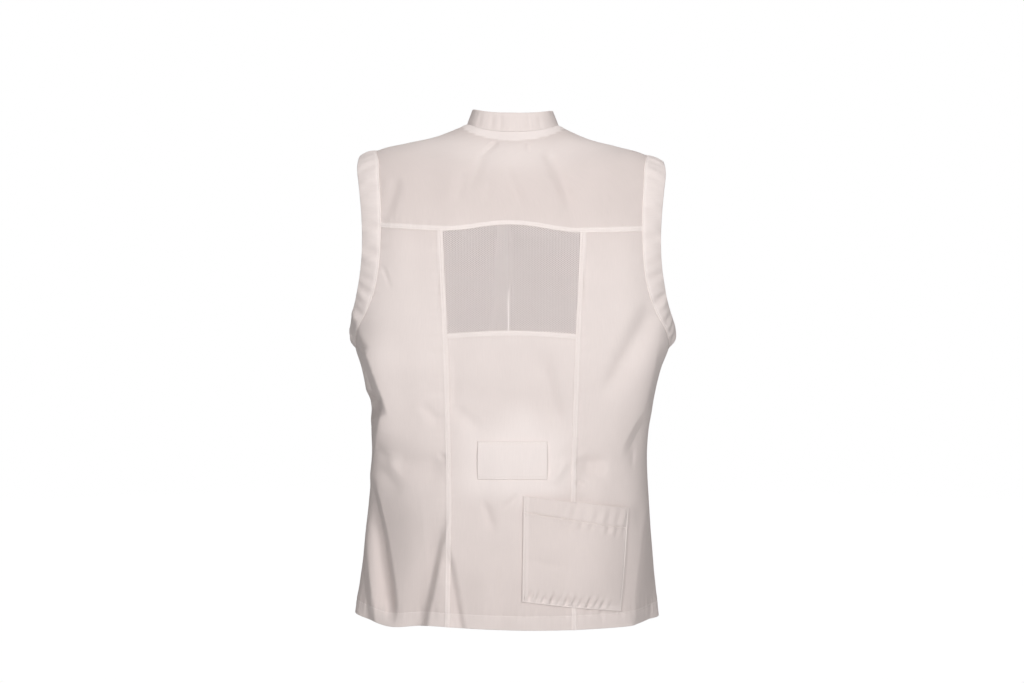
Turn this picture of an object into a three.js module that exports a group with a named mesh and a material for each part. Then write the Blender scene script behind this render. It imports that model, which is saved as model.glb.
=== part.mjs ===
// Sleeveless chef's vest with a stand collar, in the shape it has on the shoulders.
// Millimetres, +Z up. The wearer faces +Y and has the right hand on the +X side, so the
// back of the vest faces -Y. The origin is the middle of the neck, level with the top of
// the shoulders, where the vest sits.
import * as THREE from "three";

// Driving dimensions
const CLOTH = 1.2; // one layer of cloth
const DOUBLED = 2.4; // two layers, as in a band or a turned hem
const SEAM_GAP = 0.5; // clearance between neighbouring pieces
const LAP_WIDTH = 7; // raised fold along a felled seam
const LAP_RISE = 1;
const STEP = 1.2; // width of the slope where a fold ends
const HEM_DEPTH = 20;
const COLLAR_RISE = { back: 26.5, side: 19.5, front: 26 };
const COLLAR_LEAN = { x: 0.878, y: 0.9 }; // top ring as a share of the neck ring
const COLLAR_CORNER = 14; // radius of the collar's front corners
const COLLAR_OPENING = 8; // between the collar's ends at the throat
const COLLAR_GAP = 2.4; // clearance above the neck ring
const NECK_TAPE = { middle: 22, shoulder: 6, thickness: 0.8, end_turn: 0.04 };
const NECK_LABEL = { half_width: 17, height: 11, thickness: 0.6 };
const BAND_WAIST = 0.84; // depth of the arm opening as a share of the seam's depth
const BAND_BOW = 1.5; // how far a band rounds out between its edges
const BAND_GAP = 1.9; // clearance along an arm band's curved seam
const OVERLAP = 22; // how far each front passes the middle
const OVERLAP_MARGIN = 4; // how far outside the lower front's edge the upper one is clear of it
const OVERLAP_RAMP = 20; // where the upper front starts to climb, outside that edge
const FRONT_CLIMB = DOUBLED + SEAM_GAP; // clears the hem of the lower front too
const OVERLAP_SHARES = { ramp: 0.72, top: 0.8 }; // where the ramp lies on the width of a front

const WHITE = { color: 0xe6dcd8, roughness: 0.9, metalness: 0 };
const DOUBLE_WHITE = { color: 0xf1e7e4, roughness: 0.9, metalness: 0 };
const NET_WHITE = { color: 0xd6cac7, roughness: 0.85, metalness: 0 };

// Turns a list of rows into objects whose keys are the named columns.
function table(columns, rows) {
  return rows.map((row) => Object.fromEntries(columns.map((name, i) => [name, row[i]])));
}

// Sections of the body, one row a section, from the hem up to the neck ring. station is the way
// up the cloth from the hem. The depths and heights are those at the middle of the back, at the
// side and at the middle of the front. flare widens the sides alone. princess is the x of the
// seams beside the centre back and arm_seam that of the arm band's seam, beyond which a section
// is cut away. side_shift moves both sides to the right, tilt is the drop for each millimetre of
// x. square is 0 for an oval section, more for a flatter back and less for sharper sides.
const SECTIONS = table(
  ["name", "station", "half_width", "flare", "back_y", "back_z", "side_z", "front_y", "front_z",
    "princess", "arm_seam", "side_shift", "tilt", "square"],
  [
    ["hem", 0, 221, 0, -117, -695, -696, 122, -698, 83.5, 221, -6.2, 0.022, -0.03],
    ["hip", 80, 210.5, 0, -123.5, -612, -611, 120, -611, 82.5, 210.5, -5, 0.008, -0.02],
    ["seat", 160, 202, 0, -118, -530, -530, 115, -530, 81.5, 202, -4.5, 0, 0.01],
    ["waist", 240, 199, 0, -111, -450, -450, 111, -450, 83, 199, -3.5, 0, 0.03],
    ["ribs", 308, 207, 0, -110.5, -382, -382, 115.5, -382, 84.5, 207, -2, 0.001, 0.07],
    ["chest", 354, 214.5, 1.5, -117.2, -336, -337, 119.5, -336, 85.5, 214.5, -1, 0.002, 0.09],
    ["underarm", 378, 219.5, 5.5, -119.8, -312, -313, 121.3, -312, 86.3, 219.5, -1, 0.003, 0.09],
    ["scye_low", 401, 224, 4, -122.2, -289, -291, 122.8, -289, 87, 214.5, 0, 0.004, 0.085],
    ["scye", 427, 228, 1.5, -124.7, -262, -264, 124, -264, 88, 199.5, 0, 0.006, 0.08],
    ["scye_mid", 450, 231, 0, -126.5, -240, -240, 124.5, -242, 89.3, 190, 0, 0.007, 0.07],
    ["blade", 488, 234, 0, -128, -205, -198, 123.3, -212, 90.8, 182, 0, 0.01, 0.06],
    ["upper_back", 534, 238, 0, -124.5, -160, -146, 119, -178, 93, 180, 0, 0.0135, 0.035],
    ["shoulder_low", 572, 238, 0, -118, -126, -104, 113.5, -154, 94, 181, 0, 0.0145, 0.02],
    ["shoulder", 603, 230, 0, -112, -101, -66, 107, -136, 96, 184, 0, 0.0155, 0.005],
    ["shoulder_high", 626, 212, 0, -107.5, -87, -42.5, 102, -125.5, 96, 187, 0, 0.016, -0.01],
    ["tip", 646, 192, 0, -102.5, -74, -30.5, 97, -116, 96, 192, 0, 0.016, -0.02],
    ["slope_out", 681, 152, 0, -93, -53, -19.5, 86.5, -101, 96, 152, 0.5, 0.016, -0.06],
    ["slope_in", 717, 110, 0, -81.5, -31, -9.5, 75.5, -86, 96, 110, 1, 0.016, -0.03],
    ["neck", 752, 65.5, 0, -64, -9.5, 8.5, 60, -70, 65.5, 65.5, 2, 0.014, 0.03],
  ],
);
const STATION = Object.fromEntries(SECTIONS.map(({ name, station }) => [name, station]));
const FLARE_POWER = 6; // how closely the flare keeps to the side
const FOLD_FADE = 0.6; // turn past the side seam within which the back's folds die away
const HEM_SAG = 0.19; // how far the hem drops for each millimetre that a fold goes in there
const HEM_DIP = { x: -170, width: 34, drop: 8 }; // where the hem hangs lower beside the pleat
const HEM_SAG_REACH = 150; // station by which both drops have died away

// The arm band's free edge. share is the height between the bottom and the top of the
// opening, reach the x of the edge there.
const ARM_EDGE_BOTTOM = -287;
const ARM_EDGE_TOP = -39.5;
const ARM_EDGE = table(
  ["share", "reach"],
  [
    [0, 235], [0.06, 227], [0.14, 218.5], [0.24, 212.5], [0.36, 208], [0.6, 208],
    [0.8, 213.5], [0.92, 218], [1, 218],
  ],
);

// Main folds of the back, one row a fold, as seen from behind. A fold runs from its top to
// its bottom end. left and right are its half-widths on either side, rise is towards the
// viewer, and fade_top and fade_bottom are the shares of its length over which it dies away.
const FOLDS = table(
  ["name", "top_x", "top_z", "bottom_x", "bottom_z", "left", "right", "rise",
    "fade_top", "fade_bottom"],
  [
    ["left_side_hollow", -235, -280, -188, -409, 70, 14, -38, 0.1, 0.1],
    ["left_side_bump", -230, -290, -194, -466, 40, 46, 16, 0.35, 0.2],
    ["left_side_low", -197, -378, -221, -500, 70, 15, -42, 0.12, 0.25],
    ["left_waist_break", -172, -472, -86, -474, 21, 16, -7, 0.3, 0.3],
    ["left_drag", -200, -466, -149, -514, 16, 12, -6, 0.5, 0.45],
    ["left_lower_slope", -180, -490, -166, -702, 60, 38, -12, 0.35, 0],
    ["left_hem_pleat", -201, -490, -162, -690, 28, 9, -20, 0.12, 0.2],
    ["left_hem_edge", -224, -540, -202, -702, 50, 10, -15, 0.35, 0],
    ["left_flare", -87.5, -516, -126.5, -702, 36, 9, -17, 0.45, 0],
    ["right_of_flare", -90, -572, -67, -702, 12, 9, -4, 0.3, 0],
    ["right_sweep", 201, -240, 123, -384, 13, 19, -8, 0.3, 0.3],
    ["right_edge", 213, -300, 192, -412, 10, 14, -9, 0.35, 0.3],
    ["right_waist", 199, -396, 156, -472, 10, 26, -8, 0.35, 0.45],
    ["right_waist_break", 84, -470, 140, -474, 16, 13, -7, 0.4, 0.5],
    ["right_hem_edge", 229.5, -530, 208.5, -702, 22, 40, -20, 0.4, 0],
    ["pocket_swell", 132, -490, 150, -706, 50, 60, 10, 0.45, 0.55],
    ["under_tab", 118, -500, 62, -540, 16, 16, -3, 0.4, 0.5],
    ["centre_hem", 4, -560, -22, -710, 16, 20, -5, 0.5, 0],
    ["centre_drag", 34, -300, 72, -440, 16, 12, -5, 0.3, 0.3],
    ["yoke_gather_left", -38, -38, -61, -104, 9, 9, -3, 0.2, 0.5],
    ["yoke_gather_right", 43, -30, 89, -138, 10, 11, -4, 0.2, 0.4],
  ],
);

// Seams across the back, by station, with the rise of their arch between the princess seams
const YOKE_STATION = 540;
const YOKE_ARCH = 11.5;
const NET_FOOT_STATION = 399;
const NET_FOOT_ARCH = 4;

// The loop of cloth at the waist and the patch pocket, by their corners seen from behind
const TAB = { left: -46, right: 49, top: -438, bottom: -490, bulge: 2.6, lift: 0.6, crown: 0.7 };
const POCKET = {
  top_left: [16, -512], top_right: [164.5, -532.5], bottom_left: [14.5, -655],
  bottom_right: [154, -675.7], hem: 26, bulge: 4, lift: LAP_RISE + SEAM_GAP,
};

// A smooth curve through one column of a table, whose rows are placed by the knot column.
function smooth(rows, knot, key, at) {
  const last = rows.length - 1;
  const i = THREE.MathUtils.clamp(rows.findLastIndex((row) => row[knot] <= at), 0, last - 1);
  const slope = (k) => {
    const rise = (j) => (rows[j + 1][key] - rows[j][key]) / (rows[j + 1][knot] - rows[j][knot]);
    if (k === 0) return rise(0);
    if (k === last) return rise(last - 1);
    const before = rows[k][knot] - rows[k - 1][knot];
    const after = rows[k + 1][knot] - rows[k][knot];
    return (rise(k - 1) * after + rise(k) * before) / (before + after);
  };
  const gap = rows[i + 1][knot] - rows[i][knot];
  const t = THREE.MathUtils.clamp((at - rows[i][knot]) / gap, 0, 1);
  return THREE.MathUtils.lerp(rows[i][key], rows[i + 1][key], t * t * (3 - 2 * t))
    + gap * (slope(i) * t * (1 - t) ** 2 - slope(i + 1) * t * t * (1 - t));
}

function section(station) {
  const found = {};
  for (const key of Object.keys(SECTIONS[0])) {
    if (key !== "name") found[key] = smooth(SECTIONS, "station", key, station);
  }
  return found;
}

// Flattens the sides of a circle's sine or cosine, for sections between oval and square.
function squared(value, square) {
  return ((1 + 3 * square) * value - 4 * square * value ** 3) / (1 - square);
}

// The angle from the middle of the back at which a section reaches x.
function angleOfX(x, station) {
  const { half_width, square } = section(station);
  const share = Math.abs(x) / half_width;
  let low = 0;
  let high = Math.PI / 2;
  for (let i = 0; i < 40; i++) {
    const middle = (low + high) / 2;
    if (squared(Math.sin(middle), square) < share) low = middle;
    else high = middle;
  }
  return Math.sign(x) * low;
}

const princessAngle = (station) => angleOfX(section(station).princess, station);

// The angle of the seam that ends the back at the side: the side seam below the armhole,
// the arm band's seam beside it and the shoulder seam above it.
function sideAngle(station) {
  if (station <= STATION.underarm || station >= STATION.tip) return Math.PI / 2;
  return angleOfX(section(station).arm_seam, station);
}

// The body's surface before any fold. angle is 0 at the middle of the back, a quarter turn
// at the right side and a half turn at the middle of the front.
function plainPoint(angle, station) {
  const s = section(station);
  const turn = Math.sin(angle);
  const x = s.half_width * squared(turn, s.square) + s.flare * Math.sign(turn) * turn ** FLARE_POWER
    + s.side_shift * turn ** 2;
  const along = squared(Math.cos(angle), s.square);
  const [depth, height] = along >= 0 ? [s.back_y, s.back_z] : [s.front_y, s.front_z];
  const z = s.side_z + (height - s.side_z) * along ** 2 - s.tilt * x;
  return new THREE.Vector3(x, Math.abs(along) * depth, z);
}

const SMALL_TURN = 0.004; // steps over which slopes are measured
const SMALL_CLIMB = 1;

// The outward normal of a surface that is given by an angle and a station.
function normalOf(surface, angle, station) {
  const turn = SMALL_TURN;
  const climb = SMALL_CLIMB;
  const across = surface(angle + turn, station).sub(surface(angle - turn, station));
  const upper = THREE.MathUtils.clamp(station + climb, 2 * climb, STATION.neck);
  const up = surface(angle, upper).sub(surface(angle, upper - 2 * climb));
  return across.cross(up).normalize();
}

// How far the folds move the cloth towards the viewer at a place seen from behind.
function foldRise(x, z) {
  let rise = 0;
  for (const fold of FOLDS) {
    const run = new THREE.Vector2(fold.bottom_x - fold.top_x, fold.bottom_z - fold.top_z);
    const from = new THREE.Vector2(x - fold.top_x, z - fold.top_z);
    const share = from.dot(run) / run.lengthSq();
    if (share < 0 || share > 1) continue;
    // positive to the right of a fold that runs down
    const aside = (run.x * from.y - run.y * from.x) / run.length();
    const width = aside < 0 ? fold.left : fold.right;
    const fadeIn = fold.fade_top ? THREE.MathUtils.smoothstep(share, 0, fold.fade_top) : 1;
    const fadeOut = fold.fade_bottom
      ? THREE.MathUtils.smoothstep(1 - share, 0, fold.fade_bottom) : 1;
    rise += fold.rise * fadeIn * fadeOut * Math.exp(-((aside / width) ** 2));
  }
  return rise;
}

// The outer face of the cloth. The back's folds move it in depth and die away past the side.
function bodyPoint(angle, station) {
  const point = plainPoint(angle, station);
  const pastSide = Math.abs(angle) - Math.PI / 2;
  if (pastSide >= FOLD_FADE) return point;
  const fade = 1 - THREE.MathUtils.smoothstep(pastSide, 0, FOLD_FADE);
  const rise = fade * foldRise(point.x, point.z);
  const dip = fade * HEM_DIP.drop * Math.exp(-(((point.x - HEM_DIP.x) / HEM_DIP.width) ** 2));
  const low = 1 - THREE.MathUtils.smoothstep(station, 0, HEM_SAG_REACH);
  point.y -= rise;
  point.z += low * (HEM_SAG * rise - dip);
  return point;
}

// A point on the cloth, moved outward from its outer face.
function clothPoint(angle, station, outward) {
  return bodyPoint(angle, station).addScaledVector(normalOf(bodyPoint, angle, station), outward);
}

// The angle and station of the place on the back that is seen at x and z.
function backAt(x, z) {
  let low = 0;
  let high = STATION.neck;
  for (let i = 0; i < 40; i++) {
    const middle = (low + high) / 2;
    if (plainPoint(angleOfX(x, middle), middle).z < z) low = middle;
    else high = middle;
  }
  return { angle: angleOfX(x, low), station: low };
}

// A closed wall between an outer and an inner grid of points. point(u, v, side) gives the
// outer face for side 1 and the inner one for side 0; ring joins the last column to the first.
function wall(us, vs, point, ring = false) {
  const columns = us.length;
  const rows = vs.length;
  const positions = [];
  for (const side of [1, 0]) {
    for (const v of vs) for (const u of us) positions.push(...point(u, v, side).toArray());
  }
  const id = (i, j, side) => (1 - side) * columns * rows + j * columns + (i % columns);
  const index = [];
  const quad = (a, b, c, d) => index.push(a, b, c, a, c, d);
  const spans = ring ? columns : columns - 1;
  for (let i = 0; i < spans; i++) {
    for (let j = 0; j < rows - 1; j++) {
      quad(id(i, j, 1), id(i + 1, j, 1), id(i + 1, j + 1, 1), id(i, j + 1, 1));
      quad(id(i, j, 0), id(i, j + 1, 0), id(i + 1, j + 1, 0), id(i + 1, j, 0));
    }
    quad(id(i, 0, 0), id(i + 1, 0, 0), id(i + 1, 0, 1), id(i, 0, 1));
    quad(id(i, rows - 1, 1), id(i + 1, rows - 1, 1), id(i + 1, rows - 1, 0), id(i, rows - 1, 0));
  }
  if (!ring) {
    for (let j = 0; j < rows - 1; j++) {
      const k = columns - 1;
      quad(id(0, j, 0), id(0, j, 1), id(0, j + 1, 1), id(0, j + 1, 0));
      quad(id(k, j, 1), id(k, j, 0), id(k, j + 1, 0), id(k, j + 1, 1));
    }
  }
  const geometry = new THREE.BufferGeometry();
  geometry.setAttribute("position", new THREE.Float32BufferAttribute(positions, 3));
  geometry.setIndex(facingOut(positions, index));
  geometry.computeVertexNormals();
  return geometry;
}

// Turns the triangles round where the closed surface that they make is inside out.
function facingOut(positions, index) {
  const corner = (k) => new THREE.Vector3().fromArray(positions, 3 * index[k]);
  let volume = 0;
  for (let k = 0; k < index.length; k += 3) {
    volume += corner(k).dot(corner(k + 1).cross(corner(k + 2)));
  }
  if (volume > 0) return index;
  return index.map((_, k) => index[k - (k % 3) + 2 - (k % 3)]);
}

// Evenly spaced values from low to high, with extra ones where they are given.
function spaced(low, high, count, extra = []) {
  const values = [...extra.filter((value) => value > low && value < high)];
  for (let i = 0; i <= count; i++) {
    const value = THREE.MathUtils.lerp(low, high, i / count);
    const near = extra.some((other) => Math.abs(other - value) < (high - low) / count / 3);
    if (i === 0 || i === count || !near) values.push(value);
  }
  return values.sort((a, b) => a - b);
}

// Length of a section's arc between two angles.
function arcLength(from, to, station) {
  const steps = 12;
  let length = 0;
  for (let i = 0; i < steps; i++) {
    const a = THREE.MathUtils.lerp(from, to, i / steps);
    const b = THREE.MathUtils.lerp(from, to, (i + 1) / steps);
    length += plainPoint(a, station).distanceTo(plainPoint(b, station));
  }
  return length;
}

// A panel of the body, from the station bottom(share) up to top(share), where share runs from 0
// at its first edge to 1 at its last. Each of its lines is a share and the angle of that line
// by station. lap_from, lap_top and lap_bottom raise a fold along the first, upper and lower
// edge, hem turns the cloth up inside, and climb lifts the panel off the one below it.
function bodyPanel({ lines, bottom, top, columns, rows = 1, extraStations = [], lap_from = false,
  lap_top = false, lap_bottom = false, hem = false, climb = () => 0 }) {
  const angleAt = (share, station) => {
    const next = Math.max(1, lines.findIndex(([at]) => at >= share));
    const [low, lowAngle] = lines[next - 1];
    const [high, highAngle] = lines[next];
    const between = (share - low) / (high - low);
    return THREE.MathUtils.lerp(lowAngle(station), highAngle(station), between);
  };
  const middle = (bottom(0.5) + top(0.5)) / 2;
  const width = arcLength(angleAt(0, middle), angleAt(1, middle), middle);
  const height = top(0) - bottom(0);
  const lapU = LAP_WIDTH / width;
  const lapV = LAP_WIDTH / height;
  const hemV = HEM_DEPTH / height;
  const stepV = STEP / height;
  const us = spaced(0, 1, columns, [
    ...lines.map(([share]) => share), ...(lap_from ? [lapU, lapU + STEP / width] : []),
  ]);
  const vs = spaced(0, 1, rows, [
    ...(hem ? [hemV, hemV + stepV] : []),
    ...(lap_bottom ? [lapV, lapV + stepV] : []),
    ...(lap_top ? [1 - lapV - stepV, 1 - lapV] : []),
    ...extraStations.map((station) => (station - bottom(0)) / height),
  ]);
  const raised = (u, v) => (lap_from && u <= lapU) || (lap_top && v >= 1 - lapV)
    || (lap_bottom && v <= lapV);
  return wall(us, vs, (u, v, side) => {
    const station = THREE.MathUtils.lerp(bottom(u), top(u), v);
    const trim = SEAM_GAP / 2 / arcLength(angleAt(0, station), angleAt(1, station), station);
    const angle = angleAt(THREE.MathUtils.lerp(trim, 1 - trim, u), station);
    if (side === 1) return clothPoint(angle, station, climb(u) + (raised(u, v) ? LAP_RISE : 0));
    return clothPoint(angle, station, climb(u) - (hem && v <= hemV ? DOUBLED : CLOTH));
  });
}

// Station of the yoke seam and of the net's lower seam at a share of the way across the net.
const yokeSeam = (share) => YOKE_STATION + YOKE_ARCH * Math.sin(Math.PI * share) ** 2;
const netFoot = (share) => NET_FOOT_STATION + NET_FOOT_ARCH * Math.sin(Math.PI * share);

// Where the arch lies on the yoke, whose lower edge runs from one arm band to the other.
function yokeFoot(share) {
  const side = sideAngle(YOKE_STATION);
  const angle = THREE.MathUtils.lerp(-side, side, share);
  const princess = princessAngle(YOKE_STATION);
  const across = THREE.MathUtils.clamp((angle + princess) / (2 * princess), 0, 1);
  return yokeSeam(across) + SEAM_GAP / 2;
}

// Stations of a panel's rows: those that neighbours share below the armhole, those round its
// bottom, beside it, and round its top and over the shoulder
const SIDE_STATIONS = spaced(0, STATION.underarm, 13).slice(1, -1);
const ARM_STATIONS = [
  STATION.underarm, ...[0.5, 2, 5, 11].map((step) => STATION.underarm + step),
  STATION.scye_low, STATION.scye,
];
const BLADE_STATIONS = [STATION.scye_mid, STATION.blade];
const SHOULDER_STATIONS = [
  STATION.shoulder_high, ...[9, 4, 1.5, 0.4].map((step) => STATION.tip - step),
  STATION.tip, STATION.slope_out, STATION.slope_in,
];

function yoke() {
  return bodyPanel({
    lines: [[0, (station) => -sideAngle(station)], [1, sideAngle]], bottom: yokeFoot,
    top: () => STATION.neck - SEAM_GAP / 2, columns: 24, rows: 7, extraStations: SHOULDER_STATIONS,
    lap_bottom: true,
  });
}

function netPanel() {
  return bodyPanel({
    lines: [[0, (station) => -princessAngle(station)], [1, princessAngle]],
    bottom: (share) => netFoot(share) + SEAM_GAP / 2, top: (share) => yokeSeam(share) - SEAM_GAP / 2,
    columns: 10, rows: 8,
  });
}

function backCentre() {
  return bodyPanel({
    lines: [[0, (station) => -princessAngle(station)], [1, princessAngle]], bottom: () => 0,
    top: (share) => netFoot(share) - SEAM_GAP / 2, columns: 12,
    extraStations: [...SIDE_STATIONS, STATION.underarm], hem: true, lap_top: true,
  });
}

// side is 1 for the wearer's right and -1 for the left.
function backSide(side) {
  return bodyPanel({
    lines: [
      [0, (station) => side * princessAngle(station)], [1, (station) => side * sideAngle(station)],
    ],
    bottom: () => 0, top: () => YOKE_STATION - SEAM_GAP / 2, columns: 14,
    extraStations: [...SIDE_STATIONS, ...ARM_STATIONS, ...BLADE_STATIONS], hem: true, lap_from: true,
  });
}

// The left front lies over the right one where they pass the middle.
function front(side) {
  const past = (station) => angleOfX(OVERLAP, station);
  const clear = (station) => angleOfX(OVERLAP + OVERLAP_MARGIN, station);
  const before = (station) => angleOfX(OVERLAP + OVERLAP_RAMP, station);
  const { ramp, top } = OVERLAP_SHARES;
  const over = side < 0;
  return bodyPanel({
    lines: [
      [0, (station) => side * (Math.PI - sideAngle(station))],
      [ramp, (station) => side * (Math.PI - before(station))],
      [top, (station) => side * (Math.PI - clear(station))],
      [1, (station) => side * (Math.PI + past(station))],
    ],
    bottom: () => 0, top: () => STATION.neck - SEAM_GAP / 2, columns: 9,
    extraStations: [
      ...SIDE_STATIONS, ...ARM_STATIONS, ...BLADE_STATIONS, STATION.upper_back,
      STATION.shoulder_low, STATION.shoulder, ...SHOULDER_STATIONS,
    ],
    hem: true,
    climb: (share) => (over ? FRONT_CLIMB * THREE.MathUtils.smoothstep(share, ramp, top) : 0),
  });
}

// A band sewn round an armhole, standing out past its seam to a free edge.
function armBand(side) {
  const around = spaced(0, 1, 44).slice(0, -1);
  const seam = (turn) => {
    const station = THREE.MathUtils.lerp(
      STATION.underarm, STATION.tip, (1 - Math.cos(2 * Math.PI * turn)) / 2);
    const behind = THREE.MathUtils.euclideanModulo(turn, 1) < 0.5;
    const angle = behind ? sideAngle(station) : Math.PI - sideAngle(station);
    return bodyPoint(side * angle, station);
  };
  const lowest = seam(0).z;
  const highest = seam(0.5).z;
  const tiltDrop = side * ARM_EDGE[0].reach * section(STATION.tip).tilt;
  const edge = (turn) => {
    const q = seam(turn);
    const share = THREE.MathUtils.clamp((q.z - lowest) / (highest - lowest), 0, 1);
    const reach = smooth(ARM_EDGE, "share", "reach", share);
    const z = THREE.MathUtils.lerp(ARM_EDGE_BOTTOM, ARM_EDGE_TOP - tiltDrop, share);
    return new THREE.Vector3(side * reach, q.y * BAND_WAIST, z);
  };
  const middle = (turn, v) => {
    const q = seam(turn);
    const e = edge(turn);
    return q.lerp(e, THREE.MathUtils.lerp(BAND_GAP / q.distanceTo(e), 1, v));
  };
  const outward = (turn, v) => {
    const along = middle(turn + SMALL_TURN, v).sub(middle(turn - SMALL_TURN, v));
    const across = middle(turn, 1).sub(middle(turn, 0));
    return along.cross(across).normalize().multiplyScalar(-side);
  };
  return wall(around, [0, 0.5, 1], (turn, v, face) => {
    const bow = BAND_BOW * Math.sin(Math.PI * v);
    const offset = face === 1 ? (DOUBLED - CLOTH) / 2 : -(DOUBLED + CLOTH) / 2;
    return middle(turn, v).addScaledVector(outward(turn, v), bow + offset);
  }, true);
}

// A stand collar round the neck ring, open at the throat, leaning in towards the neck.
function collar() {
  const start = Math.PI - angleOfX(COLLAR_OPENING / 2, STATION.neck);
  const corners = [0.05, 0.14].flatMap((turn) => [turn - start, start - turn]);
  const us = spaced(-start, start, 38, corners);
  const ring = (angle) => bodyPoint(angle, STATION.neck);
  const rise = (angle) => {
    const along = Math.cos(angle);
    const end = along >= 0 ? COLLAR_RISE.back : COLLAR_RISE.front;
    const full = THREE.MathUtils.lerp(COLLAR_RISE.side, end, along ** 2);
    const fromEnd = ring(angle).distanceTo(ring(Math.sign(angle) * start));
    const cut = Math.max(0, COLLAR_CORNER - fromEnd);
    const round = COLLAR_CORNER - Math.sqrt(COLLAR_CORNER ** 2 - cut ** 2);
    return full - (Math.abs(angle) > Math.PI / 2 ? round : 0);
  };
  const skin = (angle, v) => {
    const base = ring(angle);
    const lean = (key) => THREE.MathUtils.lerp(1, COLLAR_LEAN[key], v);
    const z = base.z + COLLAR_GAP + rise(angle) * v;
    return new THREE.Vector3(base.x * lean("x"), base.y * lean("y"), z);
  };
  const outward = (angle, v) => {
    const along = skin(angle + SMALL_TURN, v).sub(skin(angle - SMALL_TURN, v));
    const up = skin(angle, 1).sub(skin(angle, 0));
    return along.cross(up).normalize();
  };
  return wall(us, [0, 0.5, 1], (angle, v, side) => {
    const offset = side === 1 ? (DOUBLED - CLOTH) / 2 : -(DOUBLED + CLOTH) / 2;
    return skin(angle, v).addScaledVector(outward(angle, v), offset);
  });
}

// The tape that covers the neck seam inside the back.
function neckTape() {
  const reach = Math.PI / 2 - NECK_TAPE.end_turn;
  const inside = CLOTH + SEAM_GAP;
  const width = (angle) => THREE.MathUtils.lerp(
    NECK_TAPE.shoulder, NECK_TAPE.middle, Math.cos(angle) ** 2);
  return wall(spaced(-reach, reach, 22), [0, 1], (angle, v, side) => {
    const station = STATION.neck - SEAM_GAP / 2 - (1 - v) * width(angle);
    return clothPoint(angle, station, side === 1 ? -inside : -inside - NECK_TAPE.thickness);
  });
}

// A blank label sewn on the neck tape.
function neckLabel() {
  const inside = CLOTH + 2 * SEAM_GAP + NECK_TAPE.thickness;
  const top = plainPoint(0, STATION.neck).z - 2;
  return wall(spaced(-1, 1, 4), [0, 1], (u, v, side) => {
    const place = backAt(u * NECK_LABEL.half_width, top - (1 - v) * NECK_LABEL.height);
    const depth = side === 1 ? inside : inside + NECK_LABEL.thickness;
    return clothPoint(place.angle, place.station, -depth);
  });
}

// A loop of cloth sewn down along its top and bottom, open at both ends.
function waistTab() {
  return wall(spaced(0, 1, 6), spaced(0, 1, 6), (u, v, side) => {
    const place = backAt(
      THREE.MathUtils.lerp(TAB.left, TAB.right, u), THREE.MathUtils.lerp(TAB.bottom, TAB.top, v));
    const inner = TAB.lift + TAB.bulge * Math.sin(Math.PI * v) ** TAB.crown;
    return clothPoint(place.angle, place.station, side === 1 ? inner + CLOTH : inner);
  });
}

// A patch pocket, sewn down on three sides, with a turned hem along its mouth.
function pocket() {
  const corner = (key) => new THREE.Vector2(...POCKET[key]);
  const height = corner("top_left").distanceTo(corner("bottom_left"));
  const hemFrom = 1 - POCKET.hem / height;
  const vs = spaced(0, 1, 8, [hemFrom - STEP / height, hemFrom]);
  return wall(spaced(0, 1, 9), vs, (u, v, side) => {
    const left = corner("bottom_left").lerp(corner("top_left"), v);
    const right = corner("bottom_right").lerp(corner("top_right"), v);
    const seen = left.lerp(right, u);
    const place = backAt(seen.x, seen.y);
    const inner = POCKET.lift + POCKET.bulge * Math.sin(Math.PI * u) * v;
    const thickness = v >= hemFrom ? DOUBLED : CLOTH;
    return clothPoint(place.angle, place.station, side === 1 ? inner + thickness : inner);
  });
}

const PIECES = [
  ["yoke", yoke(), WHITE],
  ["mesh_panel", netPanel(), NET_WHITE],
  ["back_centre", backCentre(), WHITE],
  ["back_side_left", backSide(-1), WHITE],
  ["back_side_right", backSide(1), WHITE],
  ["front_left", front(-1), WHITE],
  ["front_right", front(1), WHITE],
  ["arm_band_left", armBand(-1), DOUBLE_WHITE],
  ["arm_band_right", armBand(1), DOUBLE_WHITE],
  ["collar", collar(), DOUBLE_WHITE],
  ["neck_tape", neckTape(), DOUBLE_WHITE],
  ["neck_label", neckLabel(), DOUBLE_WHITE],
  ["waist_tab", waistTab(), DOUBLE_WHITE],
  ["pocket", pocket(), DOUBLE_WHITE],
];

const vest = new THREE.Group();
for (const [name, geometry, finish] of PIECES) {
  const mesh = new THREE.Mesh(geometry, new THREE.MeshStandardMaterial(finish));
  mesh.name = name;
  vest.add(mesh);
}

export default vest;
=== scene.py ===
import math
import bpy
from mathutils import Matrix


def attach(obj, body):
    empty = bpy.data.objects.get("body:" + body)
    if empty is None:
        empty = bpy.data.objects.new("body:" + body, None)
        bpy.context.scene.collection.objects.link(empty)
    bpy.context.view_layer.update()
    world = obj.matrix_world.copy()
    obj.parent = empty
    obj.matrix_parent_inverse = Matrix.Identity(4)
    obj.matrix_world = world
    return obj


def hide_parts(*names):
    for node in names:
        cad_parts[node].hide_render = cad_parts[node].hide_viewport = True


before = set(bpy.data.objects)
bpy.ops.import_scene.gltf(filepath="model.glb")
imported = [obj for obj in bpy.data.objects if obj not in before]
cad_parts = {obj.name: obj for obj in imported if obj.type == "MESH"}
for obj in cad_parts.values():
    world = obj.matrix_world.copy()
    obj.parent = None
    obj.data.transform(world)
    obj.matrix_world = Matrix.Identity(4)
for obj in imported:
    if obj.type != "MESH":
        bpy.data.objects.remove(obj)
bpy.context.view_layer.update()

from types import SimpleNamespace

import bpy
import numpy as np
from mathutils import Vector

scene = bpy.context.scene

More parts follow.
